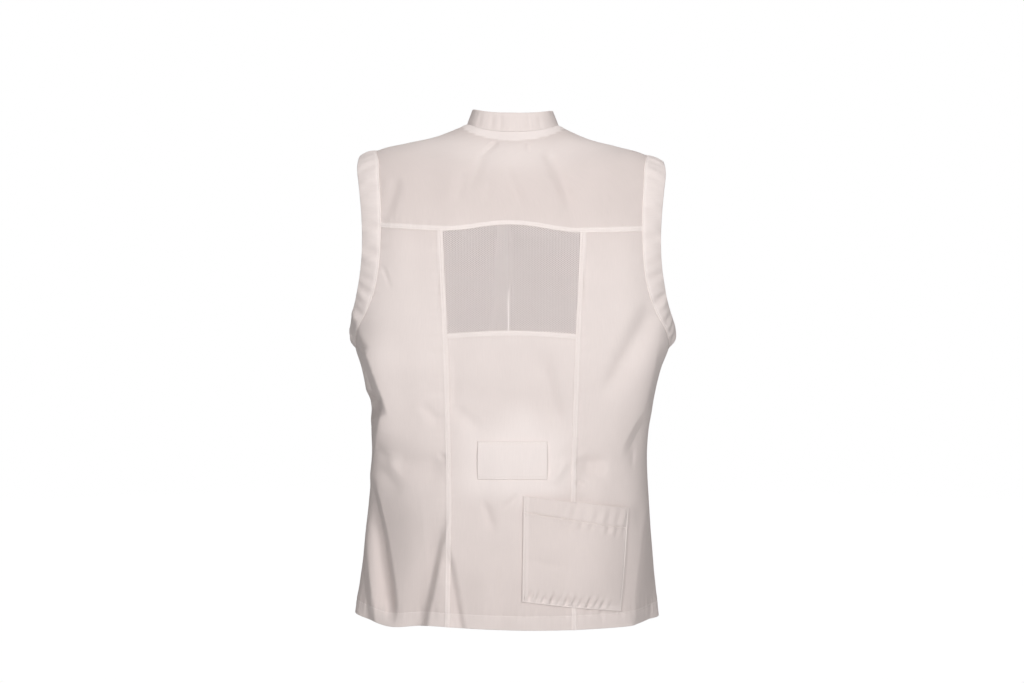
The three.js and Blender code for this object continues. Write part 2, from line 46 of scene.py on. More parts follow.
# Studio. A pale floor far below the vest, a white surround, and soft light from large panels
# above and beside the camera. The camera stands level behind the vest, at the height of its waist.
CAMERA_PLACE = (0.0007, -2.05, -0.302)
CAMERA_LENS_MM = 50
CAMERA_SENSOR_MM = 36
FLOOR_LEVEL = -1.45
FLOOR_RADIUS = 9
FLOOR_CORNERS = 96
FLOOR_COLOUR = (0.93, 0.93, 0.93, 1)
FLOOR_GLOW = 1.08
SURROUND_LIGHT = 0.10
LIGHT_AIM = Vector((0, 0, -0.35))
LIGHTS = (
    # name, place, width, height, watts
    ("left_panel", (-0.95, -2.4, 0.25), 0.7, 0.9, 23.9),
    ("right_panel", (1.05, -2.4, 0.25), 0.7, 0.9, 30.2),
    ("top_panel", (0.05, -0.15, 1.5), 1.4, 1.0, 10),
)


def add_node(tree, kind, inputs=None, **settings):
    """A shader node with its settings, whose inputs are values or sockets to link from."""
    made = tree.nodes.new(kind)
    for key, value in settings.items():
        setattr(made, key, value)
    for key, value in (inputs or {}).items():
        if isinstance(value, bpy.types.NodeSocket):
            tree.links.new(value, made.inputs[key])
        else:
            made.inputs[key].default_value = value
    return made


def new_finish(name):
    """A material with its nodes, and the tree that holds them."""
    made = bpy.data.materials.new(name)
    made.use_nodes = True
    return made, made.node_tree


bpy.ops.object.select_all(action="DESELECT")
bpy.ops.object.camera_add(location=CAMERA_PLACE, rotation=(math.pi / 2, 0, 0))
camera = bpy.context.object
camera.data.lens = CAMERA_LENS_MM
camera.data.sensor_width = CAMERA_SENSOR_MM
scene.camera = camera
scene.view_settings.view_transform = "Standard"

for light_name, place, width, height, watts in LIGHTS:
    away = LIGHT_AIM - Vector(place)
    turn = away.to_track_quat("-Z", "Y").to_euler()
    bpy.ops.object.light_add(type="AREA", location=place, rotation=turn)
    light = bpy.context.object
    light.name = light_name
    light.data.shape = "RECTANGLE"
    light.data.size = width
    light.data.size_y = height
    light.data.energy = watts

surround = bpy.data.worlds.new("surround")
surround.use_nodes = True
scene.world = surround
tree = surround.node_tree
tree.nodes.clear()
seen = add_node(tree, "ShaderNodeLightPath").outputs["Is Camera Ray"]
strength = add_node(tree, "ShaderNodeMapRange", {"Value": seen, "To Min": SURROUND_LIGHT, "To Max": 1.0})
shell = add_node(tree, "ShaderNodeBackground",
                 {"Color": (1, 1, 1, 1), "Strength": strength.outputs["Result"]})
add_node(tree, "ShaderNodeOutputWorld", {"Surface": shell.outputs["Background"]})

bpy.ops.mesh.primitive_circle_add(vertices=FLOOR_CORNERS, radius=FLOOR_RADIUS, fill_type="NGON",
                                  location=(0, 0, FLOOR_LEVEL))
floor = bpy.context.object
floor.name = "floor"
floor_finish, tree = new_finish("floor_paint")
place = add_node(tree, "ShaderNodeTexCoord").outputs["Object"]
mottle = add_node(tree, "ShaderNodeTexNoise", {"Vector": place, "Scale": 3.0, "Detail": 4.0})
rough = add_node(tree, "ShaderNodeMapRange", {"Value": mottle.outputs["Fac"], "To Min": 0.75, "To Max": 0.95})
paint = tree.nodes["Principled BSDF"]
paint.inputs["Base Color"].default_value = FLOOR_COLOUR
tree.links.new(rough.outputs["Result"], paint.inputs["Roughness"])
seen = add_node(tree, "ShaderNodeLightPath").outputs["Is Camera Ray"]
glow = add_node(tree, "ShaderNodeEmission", {"Color": FLOOR_COLOUR, "Strength": FLOOR_GLOW})
finish = add_node(tree, "ShaderNodeMixShader",
                  {0: seen, 1: paint.outputs["BSDF"], 2: glow.outputs["Emission"]})
tree.links.new(finish.outputs["Shader"], tree.nodes["Material Output"].inputs["Surface"])
floor.data.materials.append(floor_finish)


# Lower centre back. A panel of plain-woven cotton between the princess seams, cut with a curved
# top that is folded over the net, and with a turned hem.
CLOTH = 0.0012
DOUBLED = 0.0024
SEAM_GAP = 0.0005
LAP_WIDTH = 0.0062
LAP_RISE = 0.0009
LAP_SLOPE = 0.0016
FOLD_ROUND = 0.0008
ROUND_LIMIT = 0.97
PRESSED = 0.3
PRESSED_WIDTH = 0.0016
HEM_DEPTH = 0.020
TUCK_DEPTH = 0.0008
TUCK_REACH = 0.0035
TUCK_START = 0.0002
HEM_STITCH = 0.0186
STITCHES_FROM_FOLD = (0.0018, 0.0054)
GROOVE_DEPTH = 0.0004
GROOVE_WIDTH = 0.0008
GRID_PITCH = 0.003
FLARE_POWER = 6
FOLD_FADE = 0.6
HEM_SAG = 0.19
HEM_SAG_REACH = 0.15
HEM_SAG_FROM = 0.11
HEM_SAG_TO = 0.17
HEM_DIP_X = -0.170
HEM_DIP_WIDTH = 0.034
HEM_DIP_DROP = 0.008
# Painted light and shade by height: the panels' tone at these stations up the cloth. It is paler from just
# below the waist to the upper back and on the slopes beside the neck, and darker at the hem, shoulders and
# neck
PAINTED_LIGHT_AND_SHADE_STATIONS = (0, 0.04, 0.22, 0.51, 0.57, 0.65, 0.68, 0.715, 0.735, 0.76)
PAINTED_LIGHT_AND_SHADE = (0.12, 0.14, 0.40, 0.40, 0.10, 0.20, 0.50, 0.45, 0.08, 0.05)
CRISP_RATIO = 1.5
CRISP_REACH = 1.6
SMALL_TURN = 0.004
SMALL_CLIMB = 0.001
SMOOTH_ANGLE = math.radians(62)
WAVER_RATIOS = (1, 1.63, 0.71)
WAVER_PHASES = (1, 2, 5)
WAVER_PEAK = 2.2
CENTRE_WIDTH = 0.172
# reach, height, pitch and phase of the puckers beside a seam
CENTRE_HEM_PUCKERS = (0.010, 0.0006, 0.015, 0.4)
CENTRE_SIDE_PUCKERS = (0.010, 0.0003, 0.019, 1.1)
NET_FOOT_STATION = 0.399
NET_FOOT_ARCH = 0.004
LAP_LINES = (0, 0.0004, 0.0008, 0.0013, 0.0018, 0.0023, 0.003, 0.004, 0.0048, 0.0054, 0.006, 0.0067,
             0.0074, 0.0082, 0.0096)
TUCK_LINES = (-0.005, -0.0035, -0.002, -0.0008, 0.0002, 0.0012, 0.003)
HEM_LINES = (0, 0.0004, 0.001, 0.002, 0.005, 0.009, 0.013, 0.0165, 0.0178, 0.0186, 0.0194, 0.0206, 0.022)
HEM_TONE = 0.3
HEM_TONE_FADE = 0.001
# A painted pool of light on the lower centre back around the waist tab: its wavy top, its foot, and its place
# and half-width across
WAIST_PAINTED_LIGHT_TOP = 0.408
WAIST_PAINTED_LIGHT_BLUR = 0.03
WAIST_PAINTED_LIGHT_WAVE = 0.010
WAIST_PAINTED_LIGHT_WAVE_TURN = 72
WAIST_PAINTED_LIGHT_WAVE_PHASE = 0.6
WAIST_PAINTED_LIGHT_FOOT = 0.490
WAIST_PAINTED_LIGHT_FOOT_BLUR = 0.045
WAIST_PAINTED_LIGHT_X = 0.005
WAIST_PAINTED_LIGHT_HALF_WIDTH = 0.075
CENTRE_POINTS = 120
SINGLE_COLOUR = (0.785, 0.687, 0.654, 1)
DOUBLE_COLOUR = (0.945, 0.852, 0.82, 1)


def table(columns, rows):
    """Rows of a table whose values are read by the names of their columns."""
    return [SimpleNamespace(**dict(zip(columns, row))) for row in rows]


# Sections of the body from the hem to the neck ring. station is the way up the cloth. The depths
# and heights are those at the middle of the back, at the side and at the middle of the front.
SECTION_COLUMNS = ("name", "station", "half_width", "flare", "back_y", "back_z", "side_z", "front_y",
                   "front_z", "princess", "arm_seam", "side_shift", "tilt", "square")
SECTIONS = table(SECTION_COLUMNS, (
    ("hem", 0, .221, 0, -.117, -.695, -.696, .122, -.698, .0835, .221, -.0062, .022, -.03),
    ("hip", .080, .2105, 0, -.1235, -.612, -.611, .120, -.611, .0825, .2105, -.005, .008, -.02),
    ("seat", .160, .202, 0, -.118, -.530, -.530, .115, -.530, .0815, .202, -.0045, 0, .01),
    ("waist", .240, .199, 0, -.111, -.450, -.450, .111, -.450, .083, .199, -.0035, 0, .03),
    ("ribs", .308, .207, 0, -.1105, -.382, -.382, .1155, -.382, .0845, .207, -.002, .001, .07),
    ("chest", .354, .2145, .0015, -.1172, -.336, -.337, .1195, -.336, .0855, .2145, -.001, .002, .09),
    ("underarm", .378, .2195, .0055, -.1198, -.312, -.313, .1213, -.312, .0863, .2195, -.001, .003, .09),
    ("scye_low", .401, .224, .004, -.1222, -.289, -.291, .1228, -.289, .087, .2145, 0, .004, .085),
    ("scye", .427, .228, .0015, -.1247, -.262, -.264, .124, -.264, .088, .1995, 0, .006, .08),
    ("scye_mid", .450, .231, 0, -.1265, -.240, -.240, .1245, -.242, .0893, .190, 0, .007, .07),
    ("blade", .488, .234, 0, -.128, -.205, -.198, .1233, -.212, .0908, .182, 0, .01, .06),
    ("upper_back", .534, .238, 0, -.1245, -.160, -.146, .119, -.178, .093, .180, 0, .0135, .035),
    ("shoulder_low", .572, .238, 0, -.118, -.126, -.104, .1135, -.154, .094, .181, 0, .0145, .02),
    ("shoulder", .603, .230, 0, -.112, -.101, -.066, .107, -.136, .096, .184, 0, .0155, .005),
    ("shoulder_high", .626, .212, 0, -.1075, -.087, -.0425, .102, -.1255, .096, .187, 0, .016, -.01),
    ("tip", .646, .192, 0, -.1025, -.074, -.0305, .097, -.116, .096, .192, 0, .016, -.02),
    ("slope_out", .681, .152, 0, -.093, -.053, -.0195, .0865, -.101, .096, .152, .0005, .016, -.06),
    ("slope_in", .717, .110, 0, -.0815, -.031, -.0095, .0755, -.086, .096, .110, .001, .016, -.03),
    ("neck", .752, .0655, 0, -.064, -.0095, .0085, .060, -.070, .0655, .0655, .002, .014, .03),
))
STATION = {row.name: row.station for row in SECTIONS}

# Folds of the back as seen from behind, each from its top to its bottom end. bow is its sideways
# bend, left and right its half-widths, rise is outward, and the fades are shares of its length.
FOLD_COLUMNS = ("name", "top_x", "top_z", "bottom_x", "bottom_z", "bow", "left", "right", "rise",
                "fade_top", "fade_bottom")
FOLDS = table(FOLD_COLUMNS, (
    ("left_underarm", -.217, -.299, -.197, -.320, 0, .005, .005, -.007, .3, .5),
    ("left_side_hollow", -.231, -.280, -.1835, -.411, .001, .070, .0090, -.036, .10, .15),
    ("left_side_low", -.192, -.372, -.219, -.500, 0, .070, .010, -.042, .15, .25),
    ("left_hollow_crease", -.207, -.318, -.191, -.402, .002, .006, .004, -.005, .2, .2),
    ("left_hollow_low", -.203, -.360, -.200, -.425, 0, .005, .004, -.004, .3, .3),
    ("left_side_bump", -.230, -.290, -.194, -.466, 0, .040, .046, .016, .35, .2),
    ("left_waist_break", -.172, -.472, -.086, -.474, 0, .021, .016, -.007, .3, .3),
    ("left_waist_line", -.128, -.382, -.092, -.421, 0, .007, .007, -.003, .4, .4),
    ("left_seam_crease", -.101, -.452, -.090, -.466, 0, .003, .003, -.003, .4, .4),
    ("left_drag", -.200, -.466, -.149, -.514, .002, .016, .009, -.006, .5, .45),
    ("left_drag_upper", -.196, -.440, -.166, -.478, 0, .008, .006, -.002, .4, .4),
    ("left_lower_slope", -.180, -.490, -.166, -.702, 0, .060, .034, -.012, .35, .001),
    ("left_hem_pleat", -.2035, -.490, -.1640, -.690, .005, .019, .0050, -.020, .12, .2),
    ("left_hem_edge", -.224, -.540, -.202, -.702, -.002, .050, .007, -.017, .35, .001),
    ("left_flare", -.0875, -.516, -.1265, -.702, .001, .026, .0050, -.013, .5, .001),
    ("right_of_flare", -.090, -.572, -.067, -.702, 0, .012, .004, -.006, .3, .001),
    ("right_sweep", .201, -.240, .123, -.384, 0, .013, .019, -.009, .3, .3),
    ("right_edge", .213, -.300, .192, -.412, .002, .006, .014, -.010, .35, .3),
    ("right_waist", .199, -.396, .156, -.472, -.003, .0065, .026, -.009, .35, .45),
    ("right_waist_small", .171, -.446, .168, -.482, 0, .004, .004, -.002, .4, .4),
    ("right_waist_break", .084, -.470, .140, -.474, 0, .016, .012, -.008, .4, .5),
    ("right_dimple_high", .086, -.452, .099, -.456, 0, .003, .003, -.002, .3, .5),
    ("right_dimple_mid", .086, -.467, .098, -.471, 0, .003, .003, -.002, .3, .5),
    ("right_dimple_low", .086, -.494, .104, -.502, 0, .004, .004, -.003, .3, .5),
    ("right_hem_edge", .2215, -.520, .1954, -.722, .001, .018, .040, -.030, .32, .001),
    ("right_hem_line", .1920, -.530, .1690, -.702, .001, .0025, .0025, -.0015, .3, .1),
    ("right_side_line", .176, -.525, .180, -.570, 0, .010, .010, -.003, .4, .4),
    ("pocket_swell", .132, -.490, .150, -.706, 0, .050, .060, .010, .45, .55),
    ("under_tab", .118, -.500, .062, -.540, 0, .016, .016, -.003, .4, .5),
    ("centre_hem", .004, -.560, -.022, -.710, 0, .016, .020, -.005, .5, .001),
    ("centre_drag", .034, -.300, .072, -.440, 0, .016, .012, -.005, .3, .3),
    ("centre_left", -.082, -.392, -.040, -.424, 0, .010, .010, -.004, .3, .4),
    ("tab_left_low", -.040, -.514, -.022, -.568, 0, .006, .006, -.003, .3, .4),
    ("tab_to_pocket", .014, -.509, -.018, -.534, 0, .005, .005, -.003, .3, .4),
    ("tab_right_low", .078, -.460, .052, -.500, 0, .007, .007, .004, .3, .4),
    ("left_seam_hollow", -.080, -.312, -.080, -.412, 0, .006, .010, -.003, .2, .3),
    ("yoke_gather_top", -.018, -.023, -.044, -.047, 0, .004, .004, -.0035, .2, .4),
    ("yoke_gather_left", -.038, -.038, -.061, -.104, 0, .006, .007, -.0028, .2, .5),
    ("yoke_gather_low", -.061, -.060, -.079, -.122, 0, .008, .008, -.003, .4, .4),
    ("yoke_gather_inner", -.026, -.076, -.037, -.120, 0, .006, .006, -.002, .4, .4),
    ("yoke_gather_right", .043, -.030, .089, -.138, .003, .009, .010, -.005, .2, .4),
    ("yoke_gather_middle", -.010, -.056, .020, -.130, 0, .007, .008, -.003, .4, .4),
    ("yoke_small", .022, -.026, .024, -.044, 0, .003, .003, -.002, .2, .5),
    ("yoke_by_band", -.157, -.066, -.177, -.140, .003, .010, .008, -.003, .3, .3),
    ("left_of_band", -.178, -.198, -.164, -.236, .002, .003, .003, -.0012, .2, .5),
))
RIPPLES = table(("height", "across", "up", "phase"), (
    (.0008, 62, 9, 0.3), (.0006, 95, -14, 1.7), (.0005, 38, 31, 4.0),
    (.0003, 140, 22, 2.2), (.0003, 21, 120, 0.9),
))


def ease(value, low, high):
    """A smooth step from 0 at low to 1 at high."""
    t = np.clip((value - low) / (high - low), 0, 1)
    return t * t * (3 - 2 * t)


def hump(d, at, width, power=2):
    """1 at a place, falling smoothly to 0 on both sides. A higher power gives it a flat top."""
    return np.exp(-(((d - at) / width) ** power))


def unit(vectors):
    """Vectors in the same directions, of length 1."""
    return vectors / np.linalg.norm(vectors, axis=-1, keepdims=True)


def curve(knots, values, at):
    """A smooth curve through values at knots."""
    knots, values = np.array(knots, float), np.array(values, float)
    steps = np.diff(knots)
    rises = np.diff(values) / steps
    inner = (rises[:-1] * steps[1:] + rises[1:] * steps[:-1]) / (steps[:-1] + steps[1:])
    slopes = np.concatenate((rises[:1], inner, rises[-1:]))
    i = np.clip(np.searchsorted(knots, at, side="right") - 1, 0, len(steps) - 1)
    t = np.clip((at - knots[i]) / steps[i], 0, 1)
    blend = t * t * (3 - 2 * t)
    lean = steps[i] * (slopes[i] * t * (1 - t) ** 2 - slopes[i + 1] * t * t * (1 - t))
    return values[i] * (1 - blend) + values[i + 1] * blend + lean


def section(key, station):
    """A column of the sections at any station."""
    return curve([row.station for row in SECTIONS], [getattr(row, key) for row in SECTIONS], station)


def squared(value, square):
    """A sine or cosine with flatter sides, for sections between oval and square."""
    return ((1 + 3 * square) * value - 4 * square * value ** 3) / (1 - square)


def angle_of_x(x, station):
    """The angle from the middle of the back at which a section reaches x."""
    square = section("square", station)
    share = np.clip(np.abs(x) / section("half_width", station), 0, 1)
    sine = share * (1 - square) / (1 + 3 * square)
    for _ in range(12):
        slope = (1 + 3 * square - 12 * square * sine ** 2) / (1 - square)
        sine = sine + (share - squared(sine, square)) / slope
    return np.sign(x) * np.arcsin(np.clip(sine, 0, 1))


def princess_angle(station):
    return angle_of_x(section("princess", station), station)


def side_angle(station):
    """The side seam below the armhole, the arm band's seam beside it, the shoulder seam above."""
    beside = (station > STATION["underarm"]) & (station < STATION["tip"])
    return np.where(beside, angle_of_x(section("arm_seam", station), station), math.pi / 2)


def plain(angle, station):
    """The body before any fold: angle 0 is the middle of the back, a half turn the front's."""
    angle, station = np.broadcast_arrays(angle, station)
    turn = np.sin(angle)
    square = section("square", station)
    flare = section("flare", station) * np.sign(turn) * turn ** FLARE_POWER
    wide = section("half_width", station) * squared(turn, square)
    x = wide + flare + section("side_shift", station) * turn ** 2
    rearward = squared(np.cos(angle), square)
    behind = rearward >= 0
    depth = np.where(behind, section("back_y", station), section("front_y", station))
    height = np.where(behind, section("back_z", station), section("front_z", station))
    side = section("side_z", station)
    z = side + (height - side) * rearward ** 2 - section("tilt", station) * x
    return np.stack((x, np.abs(rearward) * depth, z), axis=-1)


def normal_of(surface, angle, station):
    """The outward normal of a surface given by an angle and a station."""
    across = surface(angle + SMALL_TURN, station) - surface(angle - SMALL_TURN, station)
    upper = np.clip(station + SMALL_CLIMB, 2 * SMALL_CLIMB, STATION["neck"])
    up = surface(angle, upper) - surface(angle, upper - 2 * SMALL_CLIMB)
    return unit(np.cross(across, up))


def beside_line(x, z, start_x, start_z, end_x, end_z):
    """Each place's share of the way along a line, and its distance beside it."""
    run_x, run_z = end_x - start_x, end_z - start_z
    length = math.hypot(run_x, run_z)
    share = ((x - start_x) * run_x + (z - start_z) * run_z) / length ** 2
    aside = (run_x * (z - start_z) - run_z * (x - start_x)) / length
    return share, aside


def fold_rise(folds, x, z):
    """How far folds move the cloth outward at a place seen from behind. A fold that is much narrower
    on one side has a straight wall with a crisp edge there."""
    rise = np.zeros_like(x)
    for fold in folds:
        share, aside = beside_line(x, z, fold.top_x, fold.top_z, fold.bottom_x, fold.bottom_z)
        aside = aside - fold.bow * 4 * share * (1 - share)
        width = np.where(aside < 0, fold.left, fold.right)
        shape = hump(aside, 0, width)
        if max(fold.left, fold.right) > CRISP_RATIO * min(fold.left, fold.right):
            steep = (aside < 0) == (fold.left < fold.right)
            shape = np.where(steep, np.clip(1 - np.abs(aside) / (CRISP_REACH * width), 0, 1), shape)
        fade = ease(share, 0, fold.fade_top) * ease(1 - share, 0, fold.fade_bottom)
        rise += fold.rise * fade * shape
    return rise


def body(angle, station):
    """The outer face of the cloth with its folds and slow ripples, which move it in depth."""
    angle, station = np.broadcast_arrays(angle, station)
    bare = plain(angle, station)
    x, z = bare[..., 0], bare[..., 2]
    behind = 1 - ease(np.abs(angle) - math.pi / 2, 0, FOLD_FADE)
    rise = fold_rise(FOLDS, x, z) * behind
    for wave in RIPPLES:
        rise = rise + np.cos(angle) * wave.height * np.sin(wave.across * x + wave.up * z + wave.phase)
    bare[..., 1] -= rise
    drop = HEM_DIP_DROP * hump(x, HEM_DIP_X, HEM_DIP_WIDTH) * behind
    sag = HEM_SAG * rise * (1 - ease(x, HEM_SAG_FROM, HEM_SAG_TO))
    bare[..., 2] += (sag - drop) * (1 - ease(station, 0, HEM_SAG_REACH))
    return bare


def skin(angle, station):
    """Points on the outer face of the cloth, and its normals there."""
    return body(angle, station), normal_of(body, angle, station)


def spread(length, pitch, start=(0,), end=(0,), extra=()):
    """Grid lines across a piece, as shares of its length and offsets. start and end are lines at
    distances inside the two edges, extra are distances from the first edge."""
    even = np.arange(start[-1] + pitch, length - end[-1] - pitch / 2, pitch)
    inner = [d for d in even if all(abs(d - other) > pitch / 3 for other in extra)]
    inner = np.array(sorted([*inner, *extra])) / length
    shares = np.concatenate((np.zeros(len(start)), inner, np.ones(len(end))))
    offsets = np.concatenate((start, np.zeros(len(inner)), -np.array(end[::-1], float)))
    return shares, offsets


def lay_out(first, last, bottom, top, columns, rows):
    """A grid on the body between two lines, first(station) and last(station), and between two
    edges, bottom(share) and top(share), with each place's distances from all four."""
    share, up = np.meshgrid(columns[0], rows[0])
    aside, climb = np.meshgrid(columns[1], rows[1])
    low, high = bottom(share), top(share)
    station = low + (high - low) * up + climb
    start, finish = first(station), last(station)
    angle = start + (finish - start) * share
    pace = plain(angle + SMALL_TURN, station) - plain(angle - SMALL_TURN, station)
    pace = np.linalg.norm(pace, axis=-1) / (2 * SMALL_TURN)
    steps = [plain(start + (finish - start) * s, station) for s in np.linspace(0, 1, 13)]
    width = sum(np.linalg.norm(b - a, axis=-1) for a, b in zip(steps, steps[1:]))
    return SimpleNamespace(
        angle=angle + np.sign(finish - start) * aside / pace, station=station,
        first=share * width + aside, last=(1 - share) * width - aside,
        bottom=station - low, top=high - station)


def on_lap(d):
    """1 on a felled seam's fold, by the distance from its folded edge, and 0 past it."""
    return 1 - ease(d, LAP_WIDTH, LAP_WIDTH + LAP_SLOPE)


def lap(d):
    """Height of a felled seam's fold at a distance from its folded edge."""
    return LAP_RISE * ease(d, -FOLD_ROUND, FOLD_ROUND) * on_lap(d)


def lap_thickness(d):
    """The cloth's thickness, pressed thin along the folded edge of a lap."""
    return CLOTH * (PRESSED + (1 - PRESSED) * ease(d, 0, PRESSED_WIDTH))


def tuck(d, depth=TUCK_DEPTH):
    """The drop of an edge that runs in under its neighbour."""
    return -depth * (1 - ease(d, -TUCK_REACH, TUCK_START))


def groove(d, at):
    """The dent that a row of stitches pulls into the cloth."""
    return -GROOVE_DEPTH * hump(d, at, GROOVE_WIDTH)


def rounding(d, radius=FOLD_ROUND):
    """How far a folded edge curves in at a distance from it."""
    inside = np.clip(1 - d / radius, 0, 1)
    return radius * (1 - np.sqrt(1 - np.minimum(inside, ROUND_LIMIT) ** 2))


def waver(way, pitch, phase):
    """Uneven waves along a line, between about -1 and 1."""
    turn = 2 * math.pi * way / pitch
    waves = [np.sin(ratio * turn + late * phase) for ratio, late in zip(WAVER_RATIOS, WAVER_PHASES)]
    return sum(waves) / WAVER_PEAK


def pucker(d, way, reach, height, pitch, phase):
    """Small puckers beside a seam that die away from it."""
    return height * hump(d, 0, reach) * waver(way, pitch, phase)


def cloth_mesh(name, points, faces, uv):
    """A mesh of a sheet's two faces, which share one uv map that follows the cloth in metres."""
    mesh = bpy.data.meshes.new(name)
    mesh.from_pydata(points.tolist(), [], faces.tolist())
    corner_uv = np.tile(uv.reshape(-1, 2), (2, 1))[faces.reshape(-1)]
    mesh.uv_layers.new(name="cloth").data.foreach_set("uv", corner_uv.astype(np.float32).ravel())
    return mesh


def wall(name, outer, inner, uv, layers_and_painted_light, ring=False):
    """A closed piece of cloth between two grids of points, toned 0 where the cloth is single and 1
    where it is doubled, and on some panels with painted light and shade mixed into that tone."""
    rows, columns = outer.shape[:2]
    half = rows * columns
    face = np.arange(half).reshape(rows, columns)
    if ring:
        face = np.column_stack((face, face[:, 0]))
    back = face + half

    def quads(ids):
        return np.stack((ids[:-1, :-1], ids[:-1, 1:], ids[1:, 1:], ids[1:, :-1]), -1).reshape(-1, 4)

    def rim(a, b):
        return np.stack((a[1:], a[:-1], b[:-1], b[1:]), -1)

    faces = [quads(face), quads(back)[:, ::-1], rim(face[0], back[0]), rim(face[-1][::-1], back[-1][::-1])]
    if not ring:
        faces += [rim(face[::-1, 0], back[::-1, 0]), rim(face[:, -1], back[:, -1])]
    faces = np.concatenate(faces)
    points = np.concatenate((outer.reshape(-1, 3), inner.reshape(-1, 3)))
    a, b, c, d = (points[faces[:, k]] for k in range(4))
    if np.sum(np.cross(b, c) * a) + np.sum(np.cross(c, d) * a) < 0:
        faces = faces[:, ::-1]
    mesh = cloth_mesh(name, points, faces, uv)
    doubled = np.tile(np.broadcast_to(layers_and_painted_light, (rows, columns)).reshape(-1), 2)
    mesh.attributes.new("layers_and_painted_light", "FLOAT", "POINT").data.foreach_set("value", doubled.astype(np.float32))
    return link(name, mesh)


def link(name, mesh):
    """An object for a mesh, smoothly shaded over its soft edges."""
    made = bpy.data.objects.new(name, mesh)
    scene.collection.objects.link(made)
    bpy.ops.object.select_all(action="DESELECT")
    made.select_set(True)
    bpy.context.view_layer.objects.active = made
    bpy.ops.object.shade_smooth_by_angle(angle=SMOOTH_ANGLE)
    return made


def raised(points, normals, height):
    """Points moved along their normals."""
    return points + normals * height[..., None]


def panel(name, grid, raise_by, thickness, layers_and_painted_light):
    """A panel of the body on a grid, moved outward and given its thickness. Painted light and shade
    that changes with height up the body is mixed into its tone where the cloth is single."""
    points, normals = skin(grid.angle, grid.station)
    outer = raised(points, normals, raise_by)
    inner = raised(points, normals, raise_by - thickness)
    uv = np.stack((grid.first, grid.station), axis=-1)
    # painted light and shade that changes with height
    painted_light_and_shade = curve(PAINTED_LIGHT_AND_SHADE_STATIONS, PAINTED_LIGHT_AND_SHADE, grid.station)
    return wall(name, outer, inner, uv, layers_and_painted_light + (1 - layers_and_painted_light) * painted_light_and_shade)


def math_node(tree, operation, *terms):
    """The output of a math node on values or sockets."""
    return add_node(tree, "ShaderNodeMath", dict(enumerate(terms)), operation=operation).outputs[0]


# Threads of the weave, fine slubs along them and a slow change of tone, for every cloth here
SLUB_STRETCHES = ((900, 45, 1), (45, 900, 1))
weave = bpy.data.node_groups.new("weave", "ShaderNodeTree")
for socket in ("Threads", "Slub"):
    weave.interface.new_socket(name=socket, in_out="INPUT", socket_type="NodeSocketFloat")
for socket in ("Height", "Tone"):
    weave.interface.new_socket(name=socket, in_out="OUTPUT", socket_type="NodeSocketFloat")
entry = add_node(weave, "NodeGroupInput")
cloth_uv = add_node(weave, "ShaderNodeUVMap", uv_map="cloth").outputs["UV"]
ways = add_node(weave, "ShaderNodeSeparateXYZ", {"Vector": cloth_uv})
thread_waves = []
for way in ("X", "Y"):
    turns = math_node(weave, "MULTIPLY", ways.outputs[way], entry.outputs["Threads"])
    turns = math_node(weave, "MULTIPLY", turns, math.pi)
    thread_waves.append(math_node(weave, "SINE", turns))
crossing = math_node(weave, "MULTIPLY", *thread_waves)
slubs = []
for stretch in SLUB_STRETCHES:
    drawn = add_node(weave, "ShaderNodeVectorMath", {0: cloth_uv, 1: stretch}, operation="MULTIPLY")
    noise = add_node(weave, "ShaderNodeTexNoise", {"Vector": drawn.outputs[0], "Scale": 1.0, "Detail": 2.0})
    slubs.append(noise.outputs["Fac"])
uneven = math_node(weave, "ADD", *slubs)
uneven = math_node(weave, "MULTIPLY", uneven, entry.outputs["Slub"])
height = math_node(weave, "ADD", crossing, uneven)
place = add_node(weave, "ShaderNodeTexCoord").outputs["Object"]
patches = add_node(weave, "ShaderNodeTexNoise", {"Vector": place, "Scale": 14.0, "Detail": 3.0})
tone = math_node(weave, "ADD", patches.outputs["Fac"], slubs[0])
tone = math_node(weave, "MULTIPLY", tone, 0.5)
add_node(weave, "NodeGroupOutput", {"Height": height, "Tone": tone})

TONE_SHADE = 0.95


def cloth_finish(name, single, double, threads=1900, slub=0.6, bump=0.3):
    """White cotton: single where one layer shows what lies behind it, double where it is folded, and paler or
    darker where painted light and shade are mixed into its tone.
    """
    made, tree = new_finish(name)
    woven = add_node(tree, "ShaderNodeGroup", node_tree=weave)
    woven.inputs["Threads"].default_value = threads
    woven.inputs["Slub"].default_value = slub
    layers_and_painted_light = add_node(tree, "ShaderNodeAttribute", attribute_name="layers_and_painted_light")
    colour = add_node(tree, "ShaderNodeMix", {0: layers_and_painted_light.outputs["Fac"], 6: single, 7: double},
                      data_type="RGBA")
    shade = add_node(tree, "ShaderNodeMapRange", {
        "Value": woven.outputs["Tone"], "From Min": 0.3, "From Max": 0.7,
        "To Min": TONE_SHADE, "To Max": 1.0})
    colour = add_node(tree, "ShaderNodeMix", {0: 1.0, 6: colour.outputs[2], 7: shade.outputs["Result"]},
                      data_type="RGBA", blend_type="MULTIPLY")
    rough = add_node(tree, "ShaderNodeMapRange", {
        "Value": woven.outputs["Tone"], "To Min": 0.82, "To Max": 0.96})
    relief = add_node(tree, "ShaderNodeBump", {
        "Height": woven.outputs["Height"], "Strength": bump, "Distance": 0.0002})
    surface = tree.nodes["Principled BSDF"]
    tree.links.new(colour.outputs[2], surface.inputs["Base Color"])
    tree.links.new(rough.outputs["Result"], surface.inputs["Roughness"])
    tree.links.new(relief.outputs["Normal"], surface.inputs["Normal"])
    surface.inputs["Specular IOR Level"].default_value = 0.2
    surface.inputs["Sheen Weight"].default_value = 0.08
    return made


cotton = cloth_finish("cotton", SINGLE_COLOUR, DOUBLE_COLOUR)

STITCH_LENGTH = 0.0026
STITCH_GAP = 0.0008
STITCH_WIDTH = 0.0007
STITCH_HEIGHT = 0.0004
STITCH_SHOULDER = 0.6
STITCH_SIDE = 0.1
THREAD_COLOUR = (0.93, 0.85, 0.82, 1)

